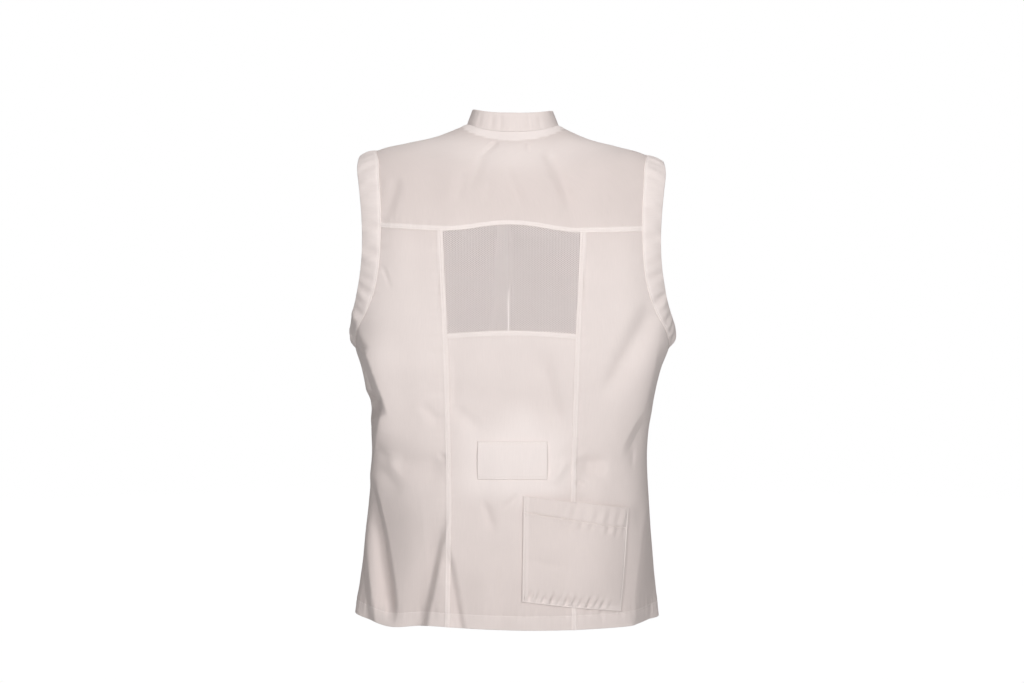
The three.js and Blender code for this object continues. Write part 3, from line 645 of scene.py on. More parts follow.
sewing_thread, tree = new_finish("sewing_thread")
place = add_node(tree, "ShaderNodeTexCoord").outputs["Object"]
twist = add_node(tree, "ShaderNodeTexNoise", {"Vector": place, "Scale": 2500.0, "Detail": 1.0})
gleam = add_node(tree, "ShaderNodeMapRange", {"Value": twist.outputs["Fac"], "To Min": 0.45, "To Max": 0.75})
strand = add_node(tree, "ShaderNodeBump", {
    "Height": twist.outputs["Fac"], "Strength": 0.3, "Distance": 0.0001})
surface = tree.nodes["Principled BSDF"]
surface.inputs["Base Color"].default_value = THREAD_COLOUR
surface.inputs["Sheen Weight"].default_value = 0.2
tree.links.new(gleam.outputs["Result"], surface.inputs["Roughness"])
tree.links.new(strand.outputs["Normal"], surface.inputs["Normal"])


def sew(name, runs):
    """Rows of stitches, one row for each run of points and normals on the cloth."""
    half, width, height = STITCH_LENGTH / 2, STITCH_WIDTH / 2, STITCH_HEIGHT
    ring = ((width, STITCH_SIDE * height), (0, height), (-width, STITCH_SIDE * height), (0, -height))
    shape = [(-half, 0, 0)]
    shape += [(end * STITCH_SHOULDER * half, aside, up) for end in (-1, 1) for aside, up in ring]
    shape = np.array(shape + [(half, 0, 0)])
    sides = [(1 + k, 1 + (k + 1) % 4, 5 + (k + 1) % 4, 5 + k) for k in range(4)]
    ends = [(0, 1 + (k + 1) % 4, 1 + k) for k in range(4)]
    ends += [(9, 5 + k, 5 + (k + 1) % 4) for k in range(4)]
    points, faces = [], []
    for line, normals in runs:
        way = np.concatenate(([0], np.cumsum(np.linalg.norm(np.diff(line, axis=0), axis=1))))
        count = max(1, int(way[-1] / (STITCH_LENGTH + STITCH_GAP)))
        middles = (np.arange(count) + 0.5) * way[-1] / count

        def at(d, field):
            return np.stack([np.interp(d, way, field[:, k]) for k in range(3)], axis=-1)

        ahead = unit(at(middles + half, line) - at(middles - half, line))
        up = at(middles, normals)
        basis = np.stack((ahead, unit(np.cross(up, ahead)), up), axis=1)
        made = at(middles, line)[:, None] + np.einsum("vk,nkj->nvj", shape, basis)
        for stitch in made:
            base = len(points)
            points.extend(stitch.tolist())
            faces.extend([tuple(base + k for k in face) for face in sides + ends])
    mesh = bpy.data.meshes.new(name)
    mesh.from_pydata(points, [], faces)
    made = link(name, mesh)
    made.data.materials.append(sewing_thread)
    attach(made, "root")
    return made


def run_on(angle, station, raise_by):
    """Points and normals of a row of stitches on the cloth."""
    points, normals = skin(angle, station)
    return raised(points, normals, raise_by).reshape(-1, 3), normals.reshape(-1, 3)


def seam_run(lines, face, columns, rows):
    """A row of stitches along one line of a panel."""
    line = lay_out(*lines, columns, rows)
    return run_on(line.angle, line.station, face(line))


def evenly(count):
    """Evenly spread lines with no offset."""
    return np.linspace(0, 1, count), np.zeros(count)


def line_at(share, offset):
    """A single line at an offset inside an edge."""
    return np.array([share], float), np.array([offset], float)


def net_foot(across):
    return NET_FOOT_STATION + NET_FOOT_ARCH * np.sin(math.pi * np.clip(across, 0, 1))


def centre_left(station):
    return -princess_angle(station)


def level(station):
    """A straight edge at one station."""
    return lambda share: np.full_like(share, station)


def hem_tone(grid):
    """How far the turned hem shows as doubled cloth."""
    return HEM_TONE * (1 - ease(grid.bottom, HEM_DEPTH - HEM_TONE_FADE, HEM_DEPTH))


def hem_thickness(grid, above):
    """The cloth's thickness, doubled in the turned hem and as given above it."""
    return np.where(grid.bottom < HEM_DEPTH, DOUBLED, above) - rounding(grid.bottom)


def centre_face(g):
    """How far the lower centre back stands off the body: folds, tucked sides, stitches, puckers."""
    sides = np.minimum(g.first, g.last)
    out = lap(g.top) + tuck(sides) - rounding(g.bottom)
    for at in STITCHES_FROM_FOLD:
        out = out + groove(g.top, at)
    out = out + groove(g.bottom, HEM_STITCH)
    out = out + pucker(g.bottom - HEM_DEPTH, g.first, *CENTRE_HEM_PUCKERS)
    return out + pucker(sides, g.station, *CENTRE_SIDE_PUCKERS)


centre_lines = (centre_left, princess_angle, level(0), lambda share: net_foot(share) - SEAM_GAP / 2)
grid = lay_out(*centre_lines, spread(CENTRE_WIDTH, GRID_PITCH, TUCK_LINES, TUCK_LINES),
               spread(NET_FOOT_STATION, GRID_PITCH, HEM_LINES, LAP_LINES))
folded = np.maximum(on_lap(grid.top), hem_tone(grid))
seen = plain(grid.angle, grid.station)
x, z = seen[..., 0], seen[..., 2]
# A painted pool of light across the small of the back around the waist tab, mixed into the panel's tone
bright_top = WAIST_PAINTED_LIGHT_TOP - WAIST_PAINTED_LIGHT_WAVE * np.sin(x * WAIST_PAINTED_LIGHT_WAVE_TURN + WAIST_PAINTED_LIGHT_WAVE_PHASE)
waist = ease(-z, bright_top - WAIST_PAINTED_LIGHT_BLUR, bright_top + WAIST_PAINTED_LIGHT_BLUR)
waist = waist * (1 - ease(-z, WAIST_PAINTED_LIGHT_FOOT, WAIST_PAINTED_LIGHT_FOOT + WAIST_PAINTED_LIGHT_FOOT_BLUR))
waist = waist * hump(x, WAIST_PAINTED_LIGHT_X, WAIST_PAINTED_LIGHT_HALF_WIDTH, power=4)
thickness = hem_thickness(grid, lap_thickness(grid.top))
back_centre = panel("back_centre", grid, centre_face(grid), thickness, np.maximum(folded, waist))
back_centre.data.materials.append(cotton)
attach(back_centre, "root")
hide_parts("back_centre")
rows = [line_at(1, -at) for at in STITCHES_FROM_FOLD] + [line_at(0, HEM_STITCH)]
runs = [seam_run(centre_lines, centre_face, evenly(CENTRE_POINTS), row) for row in rows]
centre_stitches = sew("back_centre_stitches", runs)


# Net vent. A panel of knitted net with staggered six-sided holes between the yoke and the lower
# centre back. Its four edges are sewn in under the folds of the panels around it.
YOKE_STATION = 0.540
YOKE_ARCH = 0.0115
NET_PITCH_ACROSS = 0.0041
NET_PITCH_UP = 0.0014
NET_OPEN = 0.59
NET_PLEAT_X = -0.0041
NET_PLEAT_TOP = 0.470
NET_THICKNESS = 0.0007
NET_KNOT_RISE = 0.00012
NET_MARGIN = 0.0035
NET_HALF_SPAN = 0.11
NET_RISE = 0.17
NET_START = 0.008
NET_PLEAT_WIDTH = 0.0016
NET_PLEAT_FADE = 0.04
NET_PLEAT_CLOSED = 0.9
NET_SINK = 0.0002
NET_SEAM_SINK = 0.0009
KEY_STEP = 1e-7
NET_COLOUR = (0.985, 0.89, 0.865, 1)


def yoke_seam(across):
    return YOKE_STATION + YOKE_ARCH * np.sin(math.pi * np.clip(across, 0, 1)) ** 2


def inside_seams(places):
    """How far places on the net, by x and station, lie inside the seams round it."""
    x, station = places.T
    half = section("princess", station)
    across = 0.5 + x / (2 * half)
    return np.minimum.reduce((half - np.abs(x), station - net_foot(across), yoke_seam(across) - station))


half_pitch = NET_PITCH_ACROSS / 2
reach = (half_pitch ** 2 + NET_PITCH_UP ** 2) / 2
corner_side = reach / half_pitch
corner_top = (reach - NET_PITCH_UP ** 2) / half_pitch
CELL = np.array(((corner_side, 0), (corner_top, NET_PITCH_UP), (-corner_top, NET_PITCH_UP),
                 (-corner_side, 0), (-corner_top, -NET_PITCH_UP), (corner_top, -NET_PITCH_UP)))
across_count = int(NET_HALF_SPAN / NET_PITCH_ACROSS)
up_count = int(NET_RISE / NET_PITCH_UP)
i, j = np.meshgrid(np.arange(-across_count, across_count + 1), np.arange(up_count))
centres = np.stack((i * NET_PITCH_ACROSS + (j % 2) * half_pitch,
                    NET_FOOT_STATION - NET_START + j * NET_PITCH_UP), axis=-1)
centres = centres.reshape(-1, 2)
centres = centres[inside_seams(centres) > -NET_MARGIN]
corners = centres[:, None] + CELL
pleat = hump(centres[:, 0], NET_PLEAT_X, NET_PLEAT_WIDTH, power=4)
pleat = pleat * (1 - ease(centres[:, 1], NET_PLEAT_TOP - NET_PLEAT_FADE, NET_PLEAT_TOP))
holes = centres[:, None] + (NET_OPEN * (1 - NET_PLEAT_CLOSED * pleat))[:, None, None] * CELL
keys = np.round(corners.reshape(-1, 2) / KEY_STEP).astype(np.int64)
keys, shared = np.unique(keys, axis=0, return_inverse=True)
sides = len(CELL)
shared = shared.reshape(-1, sides)
flat = np.concatenate((keys * KEY_STEP, holes.reshape(-1, 2)))
ring = len(keys) + np.arange(len(centres) * sides).reshape(-1, sides)
sink = NET_SINK + NET_SEAM_SINK * (1 - ease(inside_seams(flat), -NET_MARGIN, SEAM_GAP))
knot = np.where(np.arange(len(flat)) < len(keys), NET_KNOT_RISE, 0)
points, normals = skin(angle_of_x(flat[:, 0], flat[:, 1]), flat[:, 1])
outer = raised(points, normals, knot - sink)
inner = raised(points, normals, -sink - NET_THICKNESS)
below = len(flat)
faces = []
edges = {}
for cell, hole in zip(shared.tolist(), ring.tolist()):
    for k in range(sides):
        n = (k + 1) % sides
        faces.append((cell[k], cell[n], hole[n], hole[k]))
        faces.append((below + cell[n], below + cell[k], below + hole[k], below + hole[n]))
        faces.append((hole[k], hole[n], below + hole[n], below + hole[k]))
        edge = (cell[k], cell[n])
        edges[edge[::-1] if edge[::-1] in edges else edge] = edge[::-1] not in edges
for (a, b), free in edges.items():
    if free:
        faces.append((b, a, below + a, below + b))
mesh = cloth_mesh("mesh_panel", np.concatenate((outer, inner)), np.array(faces), flat)
mesh_panel = link("mesh_panel", mesh)
net_knit = cloth_finish("net_knit", NET_COLOUR, NET_COLOUR, threads=2600, slub=0.9, bump=0.4)
mesh_panel.data.materials.append(net_knit)
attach(mesh_panel, "root")
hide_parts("mesh_panel")


# Side backs. Two panels of the same cotton from the princess seams round to the side seams and arm
# bands. Their inner edges are folded over the centre and the net and felled with two rows of stitches.
ARM_STEPS = (0.0001, 0.0004, 0.001, 0.002, 0.0035, 0.0055, 0.008)
SIDE_PITCH = 0.0025
SIDE_WIDTH = 0.19
SIDE_HEM_PUCKERS = (0.010, 0.0006, 0.015, 2.4)
SIDE_LAP_PUCKERS = (0.010, 0.0003, 0.018, 0.2)
SIDE_ARM_PUCKERS = (0.014, 0.0004, 0.021, 3.0)
SIDE_SEAM_POINTS = 300
SIDE_HEM_POINTS = 100
BAND_TUCK = 0.0022
UNDERARM_FADE = (-0.002, 0.003)
TIP_FADE = (-0.003, 0.001)
# Painted shade along the middle of the side backs' laps, between their stitch rows, which leaves the folded
# edge pale as a painted highlight. These give its width in lap widths and its strength
LAP_PAINTED_SHADE_WIDTH = 0.25
LAP_PAINTED_SHADE = 0.45
EDGE_LINES = (-0.0035, -0.0022, -0.001, 0.0002, 0.0012, 0.003)


def under_band(station):
    """1 where the edge of a panel runs in under an arm band, 0 where a side or shoulder seam is."""
    below_tip = 1 - ease(station - STATION["tip"], *TIP_FADE)
    return ease(station - STATION["underarm"], *UNDERARM_FADE) * below_tip


def side_face(g):
    """How far a side back stands off the body: its lap, tucked edges, stitches and puckers."""
    out = lap(g.first) + tuck(g.top) + tuck(g.last, BAND_TUCK) * under_band(g.station) - rounding(g.bottom)
    for at in STITCHES_FROM_FOLD:
        out = out + groove(g.first, at)
    out = out + groove(g.bottom, HEM_STITCH)
    out = out + pucker(g.bottom - HEM_DEPTH, g.first, *SIDE_HEM_PUCKERS)
    out = out + pucker(g.first - LAP_WIDTH, g.station, *SIDE_LAP_PUCKERS)
    return out + pucker(g.last, g.station, *SIDE_ARM_PUCKERS) * under_band(g.station)


for side, name in ((-1, "back_side_left"), (1, "back_side_right")):
    lines = (lambda station: side * princess_angle(station), lambda station: side * side_angle(station),
             level(0), level(YOKE_STATION))
    arm_rows = [STATION["underarm"] + step for step in ARM_STEPS]
    grid = lay_out(*lines, spread(SIDE_WIDTH, SIDE_PITCH, LAP_LINES, EDGE_LINES),
                   spread(YOKE_STATION, GRID_PITCH, HEM_LINES, TUCK_LINES, arm_rows))
    # The lap's doubled tone is painted darker midway between its stitch rows, leaving a painted highlight
    # along the folded edge
    between = hump(grid.first / LAP_WIDTH, 0.5, LAP_PAINTED_SHADE_WIDTH)
    strip = on_lap(grid.first) * (1 - LAP_PAINTED_SHADE * between)
    folded = np.maximum(strip, hem_tone(grid))
    thickness = hem_thickness(grid, lap_thickness(grid.first))
    piece = panel(name, grid, side_face(grid), thickness, folded)
    piece.data.materials.append(cotton)
    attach(piece, "root")
    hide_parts(name)
    rows = [(line_at(0, at), evenly(SIDE_SEAM_POINTS)) for at in STITCHES_FROM_FOLD]
    rows.append((evenly(SIDE_HEM_POINTS), line_at(0, HEM_STITCH)))
    stitches = sew(name + "_stitches", [seam_run(lines, side_face, *row) for row in rows])


# Yoke. One piece of cotton over both shoulders, from the collar down to a seam above the net, where
# its edge is folded over the panels below and felled. The neck tape shows through it as a pale crescent.
TAPE_MIDDLE = 0.022
TAPE_SHOULDER = 0.006
TAPE_STEP = 0.0007
TAPE_EDGE = 0.0008
YOKE_PITCH = 0.003
YOKE_WIDTH = 0.46
YOKE_POINTS = 240
NECK_LINES = (0, 0.0006, 0.0014, 0.0025)
YOKE_LAP_PUCKERS = (0.010, 0.0003, 0.018, 1.9)
YOKE_TAPE_PUCKERS = (0.010, 0.0003, 0.014, 0.8)
YOKE_ARM_PUCKERS = (0.012, 0.0003, 0.018, 2.7)
SHOULDER_STEPS = (0.009, 0.0055, 0.003, 0.0016, 0.0008, 0.0003)


def tape_width(angle):
    return TAPE_SHOULDER + (TAPE_MIDDLE - TAPE_SHOULDER) * np.cos(angle) ** 2


def yoke_foot(share):
    edge = side_angle(np.array(YOKE_STATION))
    net_edge = princess_angle(np.array(YOKE_STATION))
    angle = -edge + 2 * edge * share
    return yoke_seam((angle + net_edge) / (2 * net_edge)) + SEAM_GAP / 2


def over_tape(g):
    """1 where the neck tape lies under the yoke."""
    return 1 - ease(g.top, tape_width(g.angle) - TAPE_EDGE, tape_width(g.angle) + TAPE_EDGE)


def yoke_face(g):
    """How far the yoke stands off the body: its lap, tucked sides, the tape under it, puckers."""
    sides = np.minimum(g.first, g.last)
    out = lap(g.bottom) + tuck(sides, BAND_TUCK) * under_band(g.station)
    for at in STITCHES_FROM_FOLD:
        out = out + groove(g.bottom, at)
    out = out + pucker(g.bottom - LAP_WIDTH, g.first, *YOKE_LAP_PUCKERS)
    out = out + TAPE_STEP * over_tape(g)
    out = out + pucker(g.top - tape_width(g.angle), g.first, *YOKE_TAPE_PUCKERS)
    return out + pucker(sides, g.station, *YOKE_ARM_PUCKERS) * under_band(g.station)


yoke_lines = (lambda station: -side_angle(station), side_angle, yoke_foot,
              level(STATION["neck"] - SEAM_GAP / 2))
tip_rows = [STATION["tip"] - step - YOKE_STATION for step in (*SHOULDER_STEPS, 0)]
grid = lay_out(*yoke_lines, spread(YOKE_WIDTH, YOKE_PITCH, EDGE_LINES, EDGE_LINES),
               spread(STATION["neck"] - YOKE_STATION, YOKE_PITCH, LAP_LINES, NECK_LINES, tip_rows))
folded = np.maximum(on_lap(grid.bottom), over_tape(grid))
yoke = panel("yoke", grid, yoke_face(grid), lap_thickness(grid.bottom), folded)
yoke.data.materials.append(cotton)
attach(yoke, "root")
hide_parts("yoke")
rows = [line_at(0, at) for at in STITCHES_FROM_FOLD]
runs = [seam_run(yoke_lines, yoke_face, evenly(YOKE_POINTS), row) for row in rows]
yoke_stitches = sew("yoke_stitches", runs)


# Fronts. Two plain panels from the side seams and shoulders to the middle, where the left one laps
# over the right one over a covered fastening. Their edges are turned in, and the hem goes on round.
OVERLAP = 0.022
CLIMB_FROM = 0.042
CLIMB_TO = 0.026
FRONT_CLIMB = 0.0029
FACINGS = {-1: 0.040, 1: 0.018}
FACING_EDGE = 0.0013
FACING_STEP = 0.0022
FRONT_PITCH = 0.0045
FRONT_WIDTH = 0.30
FRONT_EDGE_LINES = (0, 0.0004, 0.001, 0.002)
FACING_LINES = (-0.0025, -0.0013, -0.0006, 0, 0.0006, 0.0013, 0.0025)
SEAM_TUCK = 0.0018
FRONT_EDGE_PRESS = 0.9
FACING_FADE = (0.001, 0.002)
FRONT_HEM_POINTS = 160
FACING_POINTS = 320
FRONT_HEM_PUCKERS = (0.012, 0.0003, 0.016)
FACING_PUCKERS = (0.010, 0.0003, 0.018)
FRONT_HEM_PHASE = 1.4
FACING_PHASE = 0.6


def front_face(side):
    """How far a front stands off the body, as a function of a grid."""
    def face(g):
        toward = side * plain(g.angle, g.station)[..., 0]
        climb = FRONT_CLIMB * ease(-toward, -CLIMB_FROM, -CLIMB_TO) if side < 0 else 0
        over = BAND_TUCK * under_band(g.station) + SEAM_TUCK * (1 - under_band(g.station))
        out = climb + tuck(g.first, over) - rounding(g.bottom) - rounding(g.last)
        out = out + groove(g.bottom, HEM_STITCH) + groove(g.last, FACINGS[-1]) * (side < 0)
        out = out + pucker(g.bottom - HEM_DEPTH, g.first, *FRONT_HEM_PUCKERS, FRONT_HEM_PHASE + side)
        return out + pucker(g.last - FACINGS[-1], g.station, *FACING_PUCKERS, FACING_PHASE + side)
    return face


for side, name in ((-1, "front_left"), (1, "front_right")):
    lines = (lambda station: side * (math.pi - side_angle(station)),
             lambda station: side * (math.pi + angle_of_x(OVERLAP, station)),
             level(0), level(STATION["neck"] - SEAM_GAP / 2))
    face = front_face(side)
    rows = [STATION["underarm"] + step for step in ARM_STEPS]
    rows += [STATION["tip"] - step for step in (*SHOULDER_STEPS, 0)]
    facing = FACINGS[side]
    ends = (*FRONT_EDGE_LINES, *(facing + step for step in FACING_LINES))
    grid = lay_out(*lines, spread(FRONT_WIDTH, FRONT_PITCH, EDGE_LINES, ends),
                   spread(STATION["neck"], FRONT_PITCH, HEM_LINES, NECK_LINES, rows))
    folded = np.maximum(1 - ease(grid.last - facing, *FACING_FADE), hem_tone(grid))
    thickness = hem_thickness(grid, CLOTH) - rounding(grid.last) * FRONT_EDGE_PRESS
    thickness = thickness + FACING_STEP * hump(grid.last, facing, FACING_EDGE, power=4)
    piece = panel(name, grid, face(grid), thickness, folded)
    piece.data.materials.append(cotton)
    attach(piece, "root")
    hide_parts(name)
    runs = [seam_run(lines, face, evenly(FRONT_HEM_POINTS), line_at(0, HEM_STITCH))]
    if side < 0:
        runs.append(seam_run(lines, face, line_at(1, -facing), evenly(FACING_POINTS)))
    stitches = sew(name + "_stitches", runs)


# Arm bands. A doubled strip of cotton sewn round each armhole and standing out past its seam to a
# folded free edge. The curve makes it pucker across, most of all under the arm.
ARM_EDGE = table(("share", "reach"), (
    (0, .235), (.06, .227), (.14, .2185), (.24, .2125), (.36, .208), (.6, .208), (.8, .2135),
    (.92, .218), (1, .218),
))
ARM_EDGE_BOTTOM = -0.287
ARM_EDGE_TOP = -0.0395
BAND_WAIST = 0.84
BAND_BOW = 0.0015
BAND_START = 0.0002
BAND_WIDTH = 0.028
BAND_STITCHES = 0.0022
BAND_RISE = 0.0007
BAND_TONE = 0.75
BAND_LENGTH = 0.62
BAND_WRINKLES = 0.0011
BAND_LOW_WRINKLES = 0.0012
BAND_WRINKLE_PITCH = 0.023
BAND_WRINKLE_SLANT = 0.006
BAND_PRESSED_WIDTH = 0.004
BAND_EDGE_ROUND = 0.0012
BAND_BACK_ROUND = 0.0011
BAND_COLUMNS = 260
BAND_ROWS_MM = (0, 0.4, 1.0, 1.7, 2.2, 2.8, 4, 6, 9, 12, 15, 18, 21, 23.5, 25.5, 26.8, 27.4, 27.8, 28)
BAND_SEAM_PRESS = 0.5
BAND_TONE_FADE = (0.003, 0.0045)
BAND_POINTS = 300
TURN_STEP = 0.002


def band_maker(side):
    """Functions for a band's middle surface, its normals and its puckers, by turn and share across."""
    def seam(turn):
        height = STATION["tip"] - STATION["underarm"]
        station = STATION["underarm"] + height * (1 - np.cos(2 * math.pi * turn)) / 2
        angle = side_angle(station)
        behind = np.mod(turn, 1) < 0.5
        return body(side * np.where(behind, angle, math.pi - angle), station)

    lowest, highest = seam(np.array([0.0, 0.5]))[:, 2]
    drop = side * ARM_EDGE[0].reach * section("tilt", STATION["tip"])

    def middle(turn, v):
        q = seam(turn)
        share = np.clip((q[..., 2] - lowest) / (highest - lowest), 0, 1)
        reach = curve([row.share for row in ARM_EDGE], [row.reach for row in ARM_EDGE], share)
        z = ARM_EDGE_BOTTOM + (ARM_EDGE_TOP - drop - ARM_EDGE_BOTTOM) * share
        edge = np.stack((side * reach, q[..., 1] * BAND_WAIST, z), axis=-1)
        start = BAND_START / np.linalg.norm(edge - q, axis=-1)
        return q + (edge - q) * (start + (1 - start) * v)[..., None]

    def outward(turn, v):
        ahead = middle(turn + TURN_STEP, v) - middle(turn - TURN_STEP, v)
        across = middle(turn, np.ones_like(v)) - middle(turn, np.zeros_like(v))
        return unit(np.cross(ahead, across) * -side)

    def face(turn, v):
        """How far the middle of the band stands off the straight line from its seam to its edge."""
        way = turn * BAND_LENGTH
        low = (1 + np.cos(2 * math.pi * turn)) / 2
        wrinkles = BAND_WRINKLES + BAND_LOW_WRINKLES * low
        wrinkles = wrinkles * waver(way + BAND_WRINKLE_SLANT * v, BAND_WRINKLE_PITCH, 1.0 + side)
        return (BAND_BOW + wrinkles) * np.sin(math.pi * np.clip(v, 0, 1))

    return middle, outward, face


band_columns = np.linspace(0, 1, BAND_COLUMNS + 1)[:-1]
for side, name in ((-1, "arm_band_left"), (1, "arm_band_right")):
    middle, outward, face = band_maker(side)
    turn, v = np.meshgrid(band_columns, np.array(BAND_ROWS_MM) / BAND_ROWS_MM[-1])
    points, normals = middle(turn, v), outward(turn, v)
    from_edge, from_seam = (1 - v) * BAND_WIDTH, v * BAND_WIDTH
    out = face(turn, v) + BAND_RISE - rounding(from_edge, BAND_EDGE_ROUND)
    out = out - BAND_SEAM_PRESS * rounding(from_seam)
    out = out + groove(from_seam, BAND_STITCHES)
    pressed = PRESSED + (1 - PRESSED) * ease(from_seam, 0, BAND_PRESSED_WIDTH)
    thickness = DOUBLED * pressed - 2 * rounding(from_edge, BAND_BACK_ROUND)
    outer = raised(points, normals, out)
    inner = raised(points, normals, out - thickness)
    tone = BAND_TONE + (1 - BAND_TONE) * (1 - ease(from_seam, *BAND_TONE_FADE))
    uv = np.stack((turn * BAND_LENGTH, v * BAND_WIDTH), axis=-1)
    piece = wall(name, outer, inner, uv, tone, ring=True)
    piece.data.materials.append(cotton)
    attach(piece, "root")
    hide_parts(name)
    turn = np.linspace(0, 1, BAND_POINTS)
    v = np.full_like(turn, BAND_STITCHES / BAND_WIDTH)
    normals = outward(turn, v)
    lift = face(turn, v) + BAND_RISE - GROOVE_DEPTH
    stitches = sew(name + "_stitches", [(raised(middle(turn, v), normals, lift), normals)])


# Collar. A doubled stand of cotton sewn round the neck, leaning in, with rounded corners at the
# throat. It creases upright where it bends at the back of the neck.
COLLAR_BACK = 0.0265
COLLAR_SIDE = 0.0195
COLLAR_FRONT = 0.026
COLLAR_LEAN_X = 0.878
COLLAR_LEAN_Y = 0.90
COLLAR_CORNER = 0.014
COLLAR_OPENING = 0.008
COLLAR_SEAT = 0.0004
COLLAR_TOP = 0.0014
COLLAR_HEIGHT = 0.028
COLLAR_RADIUS = 0.067
COLLAR_ROUND = 0.0012
COLLAR_TONE = 0.5
COLLAR_COLUMNS = 261
COLLAR_ROWS_MM = (0, 0.5, 1.2, 2.2, 4, 7, 10, 13, 16, 19, 22, 24.5, 26, 27, 27.5, 27.8)
COLLAR_CREASE_POWER = 0.7
COLLAR_CREASES = table(("angle", "width", "rise"), (
    (-.42, .05, -.0014), (-.22, .04, -.0012), (.04, .05, -.0012), (.36, .05, -.0013), (.62, .06, -.0010),
    (-.75, .06, -.0008),
))

throat = math.pi - angle_of_x(np.array(COLLAR_OPENING / 2), np.array(STATION["neck"]))
collar_columns = np.linspace(-throat, throat, COLLAR_COLUMNS)


def collar_ring(angle):
    return body(angle, np.full_like(angle, STATION["neck"]))


def collar_skin(angle, v):
    """The middle of the collar, by the angle round the neck and the share of its height."""
    base = collar_ring(angle)
    ends = collar_ring(np.sign(angle) * throat)
    backness = np.clip(np.cos(angle), 0, 1) ** 2
    frontness = np.clip(-np.cos(angle), 0, 1) ** 2
    full = COLLAR_SIDE + (COLLAR_BACK - COLLAR_SIDE) * backness
    full = full + (COLLAR_FRONT - COLLAR_SIDE) * frontness
    cut = np.clip(COLLAR_CORNER - np.linalg.norm(base - ends, axis=-1), 0, None)
    cut = np.where(np.abs(angle) > math.pi / 2, cut, 0)
    rise = full - (COLLAR_CORNER - np.sqrt(COLLAR_CORNER ** 2 - cut ** 2)) + COLLAR_TOP
    lean = np.stack((1 + (COLLAR_LEAN_X - 1) * v, 1 + (COLLAR_LEAN_Y - 1) * v, np.ones_like(v)), axis=-1)
    return base * lean + np.stack((0 * v, 0 * v, COLLAR_SEAT + rise * v), axis=-1)


def collar_normal(angle, v):
    ahead = collar_skin(angle + SMALL_TURN, v) - collar_skin(angle - SMALL_TURN, v)
    up = collar_skin(angle, np.ones_like(v)) - collar_skin(angle, np.zeros_like(v))
    return unit(np.cross(ahead, up))


angle, v = np.meshgrid(collar_columns, np.array(COLLAR_ROWS_MM) / COLLAR_ROWS_MM[-1])
points, normals = collar_skin(angle, v), collar_normal(angle, v)
crease = sum(row.rise * hump(angle, row.angle, row.width) for row in COLLAR_CREASES)
off = crease * np.sin(math.pi * np.clip(v, 0, 1) ** COLLAR_CREASE_POWER) - (DOUBLED - CLOTH) / 2
half = DOUBLED / 2 - rounding((1 - v) * COLLAR_HEIGHT, COLLAR_ROUND)
outer = raised(points, normals, off + half)
inner = raised(points, normals, off - half)
uv = np.stack((angle * COLLAR_RADIUS, v * COLLAR_HEIGHT), axis=-1)
collar = wall("collar", outer, inner, uv, np.full_like(v, COLLAR_TONE))
collar.data.materials.append(cotton)
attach(collar, "root")
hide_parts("collar")


# Neck tape and label. A strip of cotton that covers the neck seam inside the back, and a blank
# woven label sewn on it.
TAPE_THICKNESS = 0.0008
TAPE_END = 0.04
TAPE_RADIUS = 0.075
TAPE_COLUMNS = 90
TAPE_ROWS = 7
LABEL_HALF_WIDTH = 0.017
LABEL_HEIGHT = 0.011
LABEL_DROP = 0.002
LABEL_THICKNESS = 0.0006
LABEL_COLUMNS = 16
LABEL_ROWS = 7
INSIDE = CLOTH + SEAM_GAP

tape_columns = np.linspace(TAPE_END - math.pi / 2, math.pi / 2 - TAPE_END, TAPE_COLUMNS)
angle, v = np.meshgrid(tape_columns, np.linspace(0, 1, TAPE_ROWS))
station = STATION["neck"] - SEAM_GAP / 2 - (1 - v) * tape_width(angle)
points, normals = skin(angle, station)
outer = points - normals * INSIDE
inner = points - normals * (INSIDE + TAPE_THICKNESS)
uv = np.stack((angle * TAPE_RADIUS, station), axis=-1)
neck_tape = wall("neck_tape", outer, inner, uv, np.ones_like(v))
neck_tape.data.materials.append(cotton)
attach(neck_tape, "root")
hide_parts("neck_tape")


def back_at(x, z):
    """The angle and station of the place on the back that is seen at x and z."""
    low, high = np.zeros_like(x), np.full_like(x, STATION["neck"])
    for _ in range(32):
        half = (low + high) / 2
        below = plain(angle_of_x(x, half), half)[..., 2] < z
        low, high = np.where(below, half, low), np.where(below, high, half)
    return angle_of_x(x, low), low


label_columns = np.linspace(-LABEL_HALF_WIDTH, LABEL_HALF_WIDTH, LABEL_COLUMNS)
x, drop = np.meshgrid(label_columns, np.linspace(LABEL_HEIGHT, 0, LABEL_ROWS))
label_top = plain(np.array(0.0), np.array(STATION["neck"]))[2] - LABEL_DROP
angle, station = back_at(x, label_top - drop)
points, normals = skin(angle, station)
outer = points - normals * (INSIDE + TAPE_THICKNESS + SEAM_GAP)
inner = outer - normals * LABEL_THICKNESS
neck_label = wall("neck_label", outer, inner, np.stack((x, -drop), axis=-1), np.ones_like(x))
neck_label.data.materials.append(cotton)
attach(neck_label, "root")
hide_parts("neck_label")


# Waist tab. A wide flat loop of doubled cotton on the lower back, sewn down along its top and
# bottom edges and open at both ends, with a bar of close stitches in each corner.
TAB_LEFT = -0.046
TAB_RIGHT = 0.049
TAB_TOP = -0.438
TAB_BOTTOM = -0.490
TAB_LIFT = 0.0004
TAB_BULGE = 0.0018
TAB_CREASES = table(("foot", "lean", "width", "depth"), (
    (.058, .25, .004, .0006), (.024, 1.1, .003, .0003), (.012, 1.3, .0025, .0003),
    (.040, .9, .0035, .0003),
))
TAB_CROWN = 0.7
TAB_TONE = 0.95
TAB_PITCH = 0.0025
TAB_LAYERS = 1.5
TAB_CLEAR = 0.0003
TAB_BAR = 0.008
TAB_POINTS = 60
TAB_BAR_POINTS = 8
TAB_STITCH = 0.0022
TAB_LINES = (0, 0.0004, 0.001, 0.0016, 0.0022, 0.0028, 0.0036)

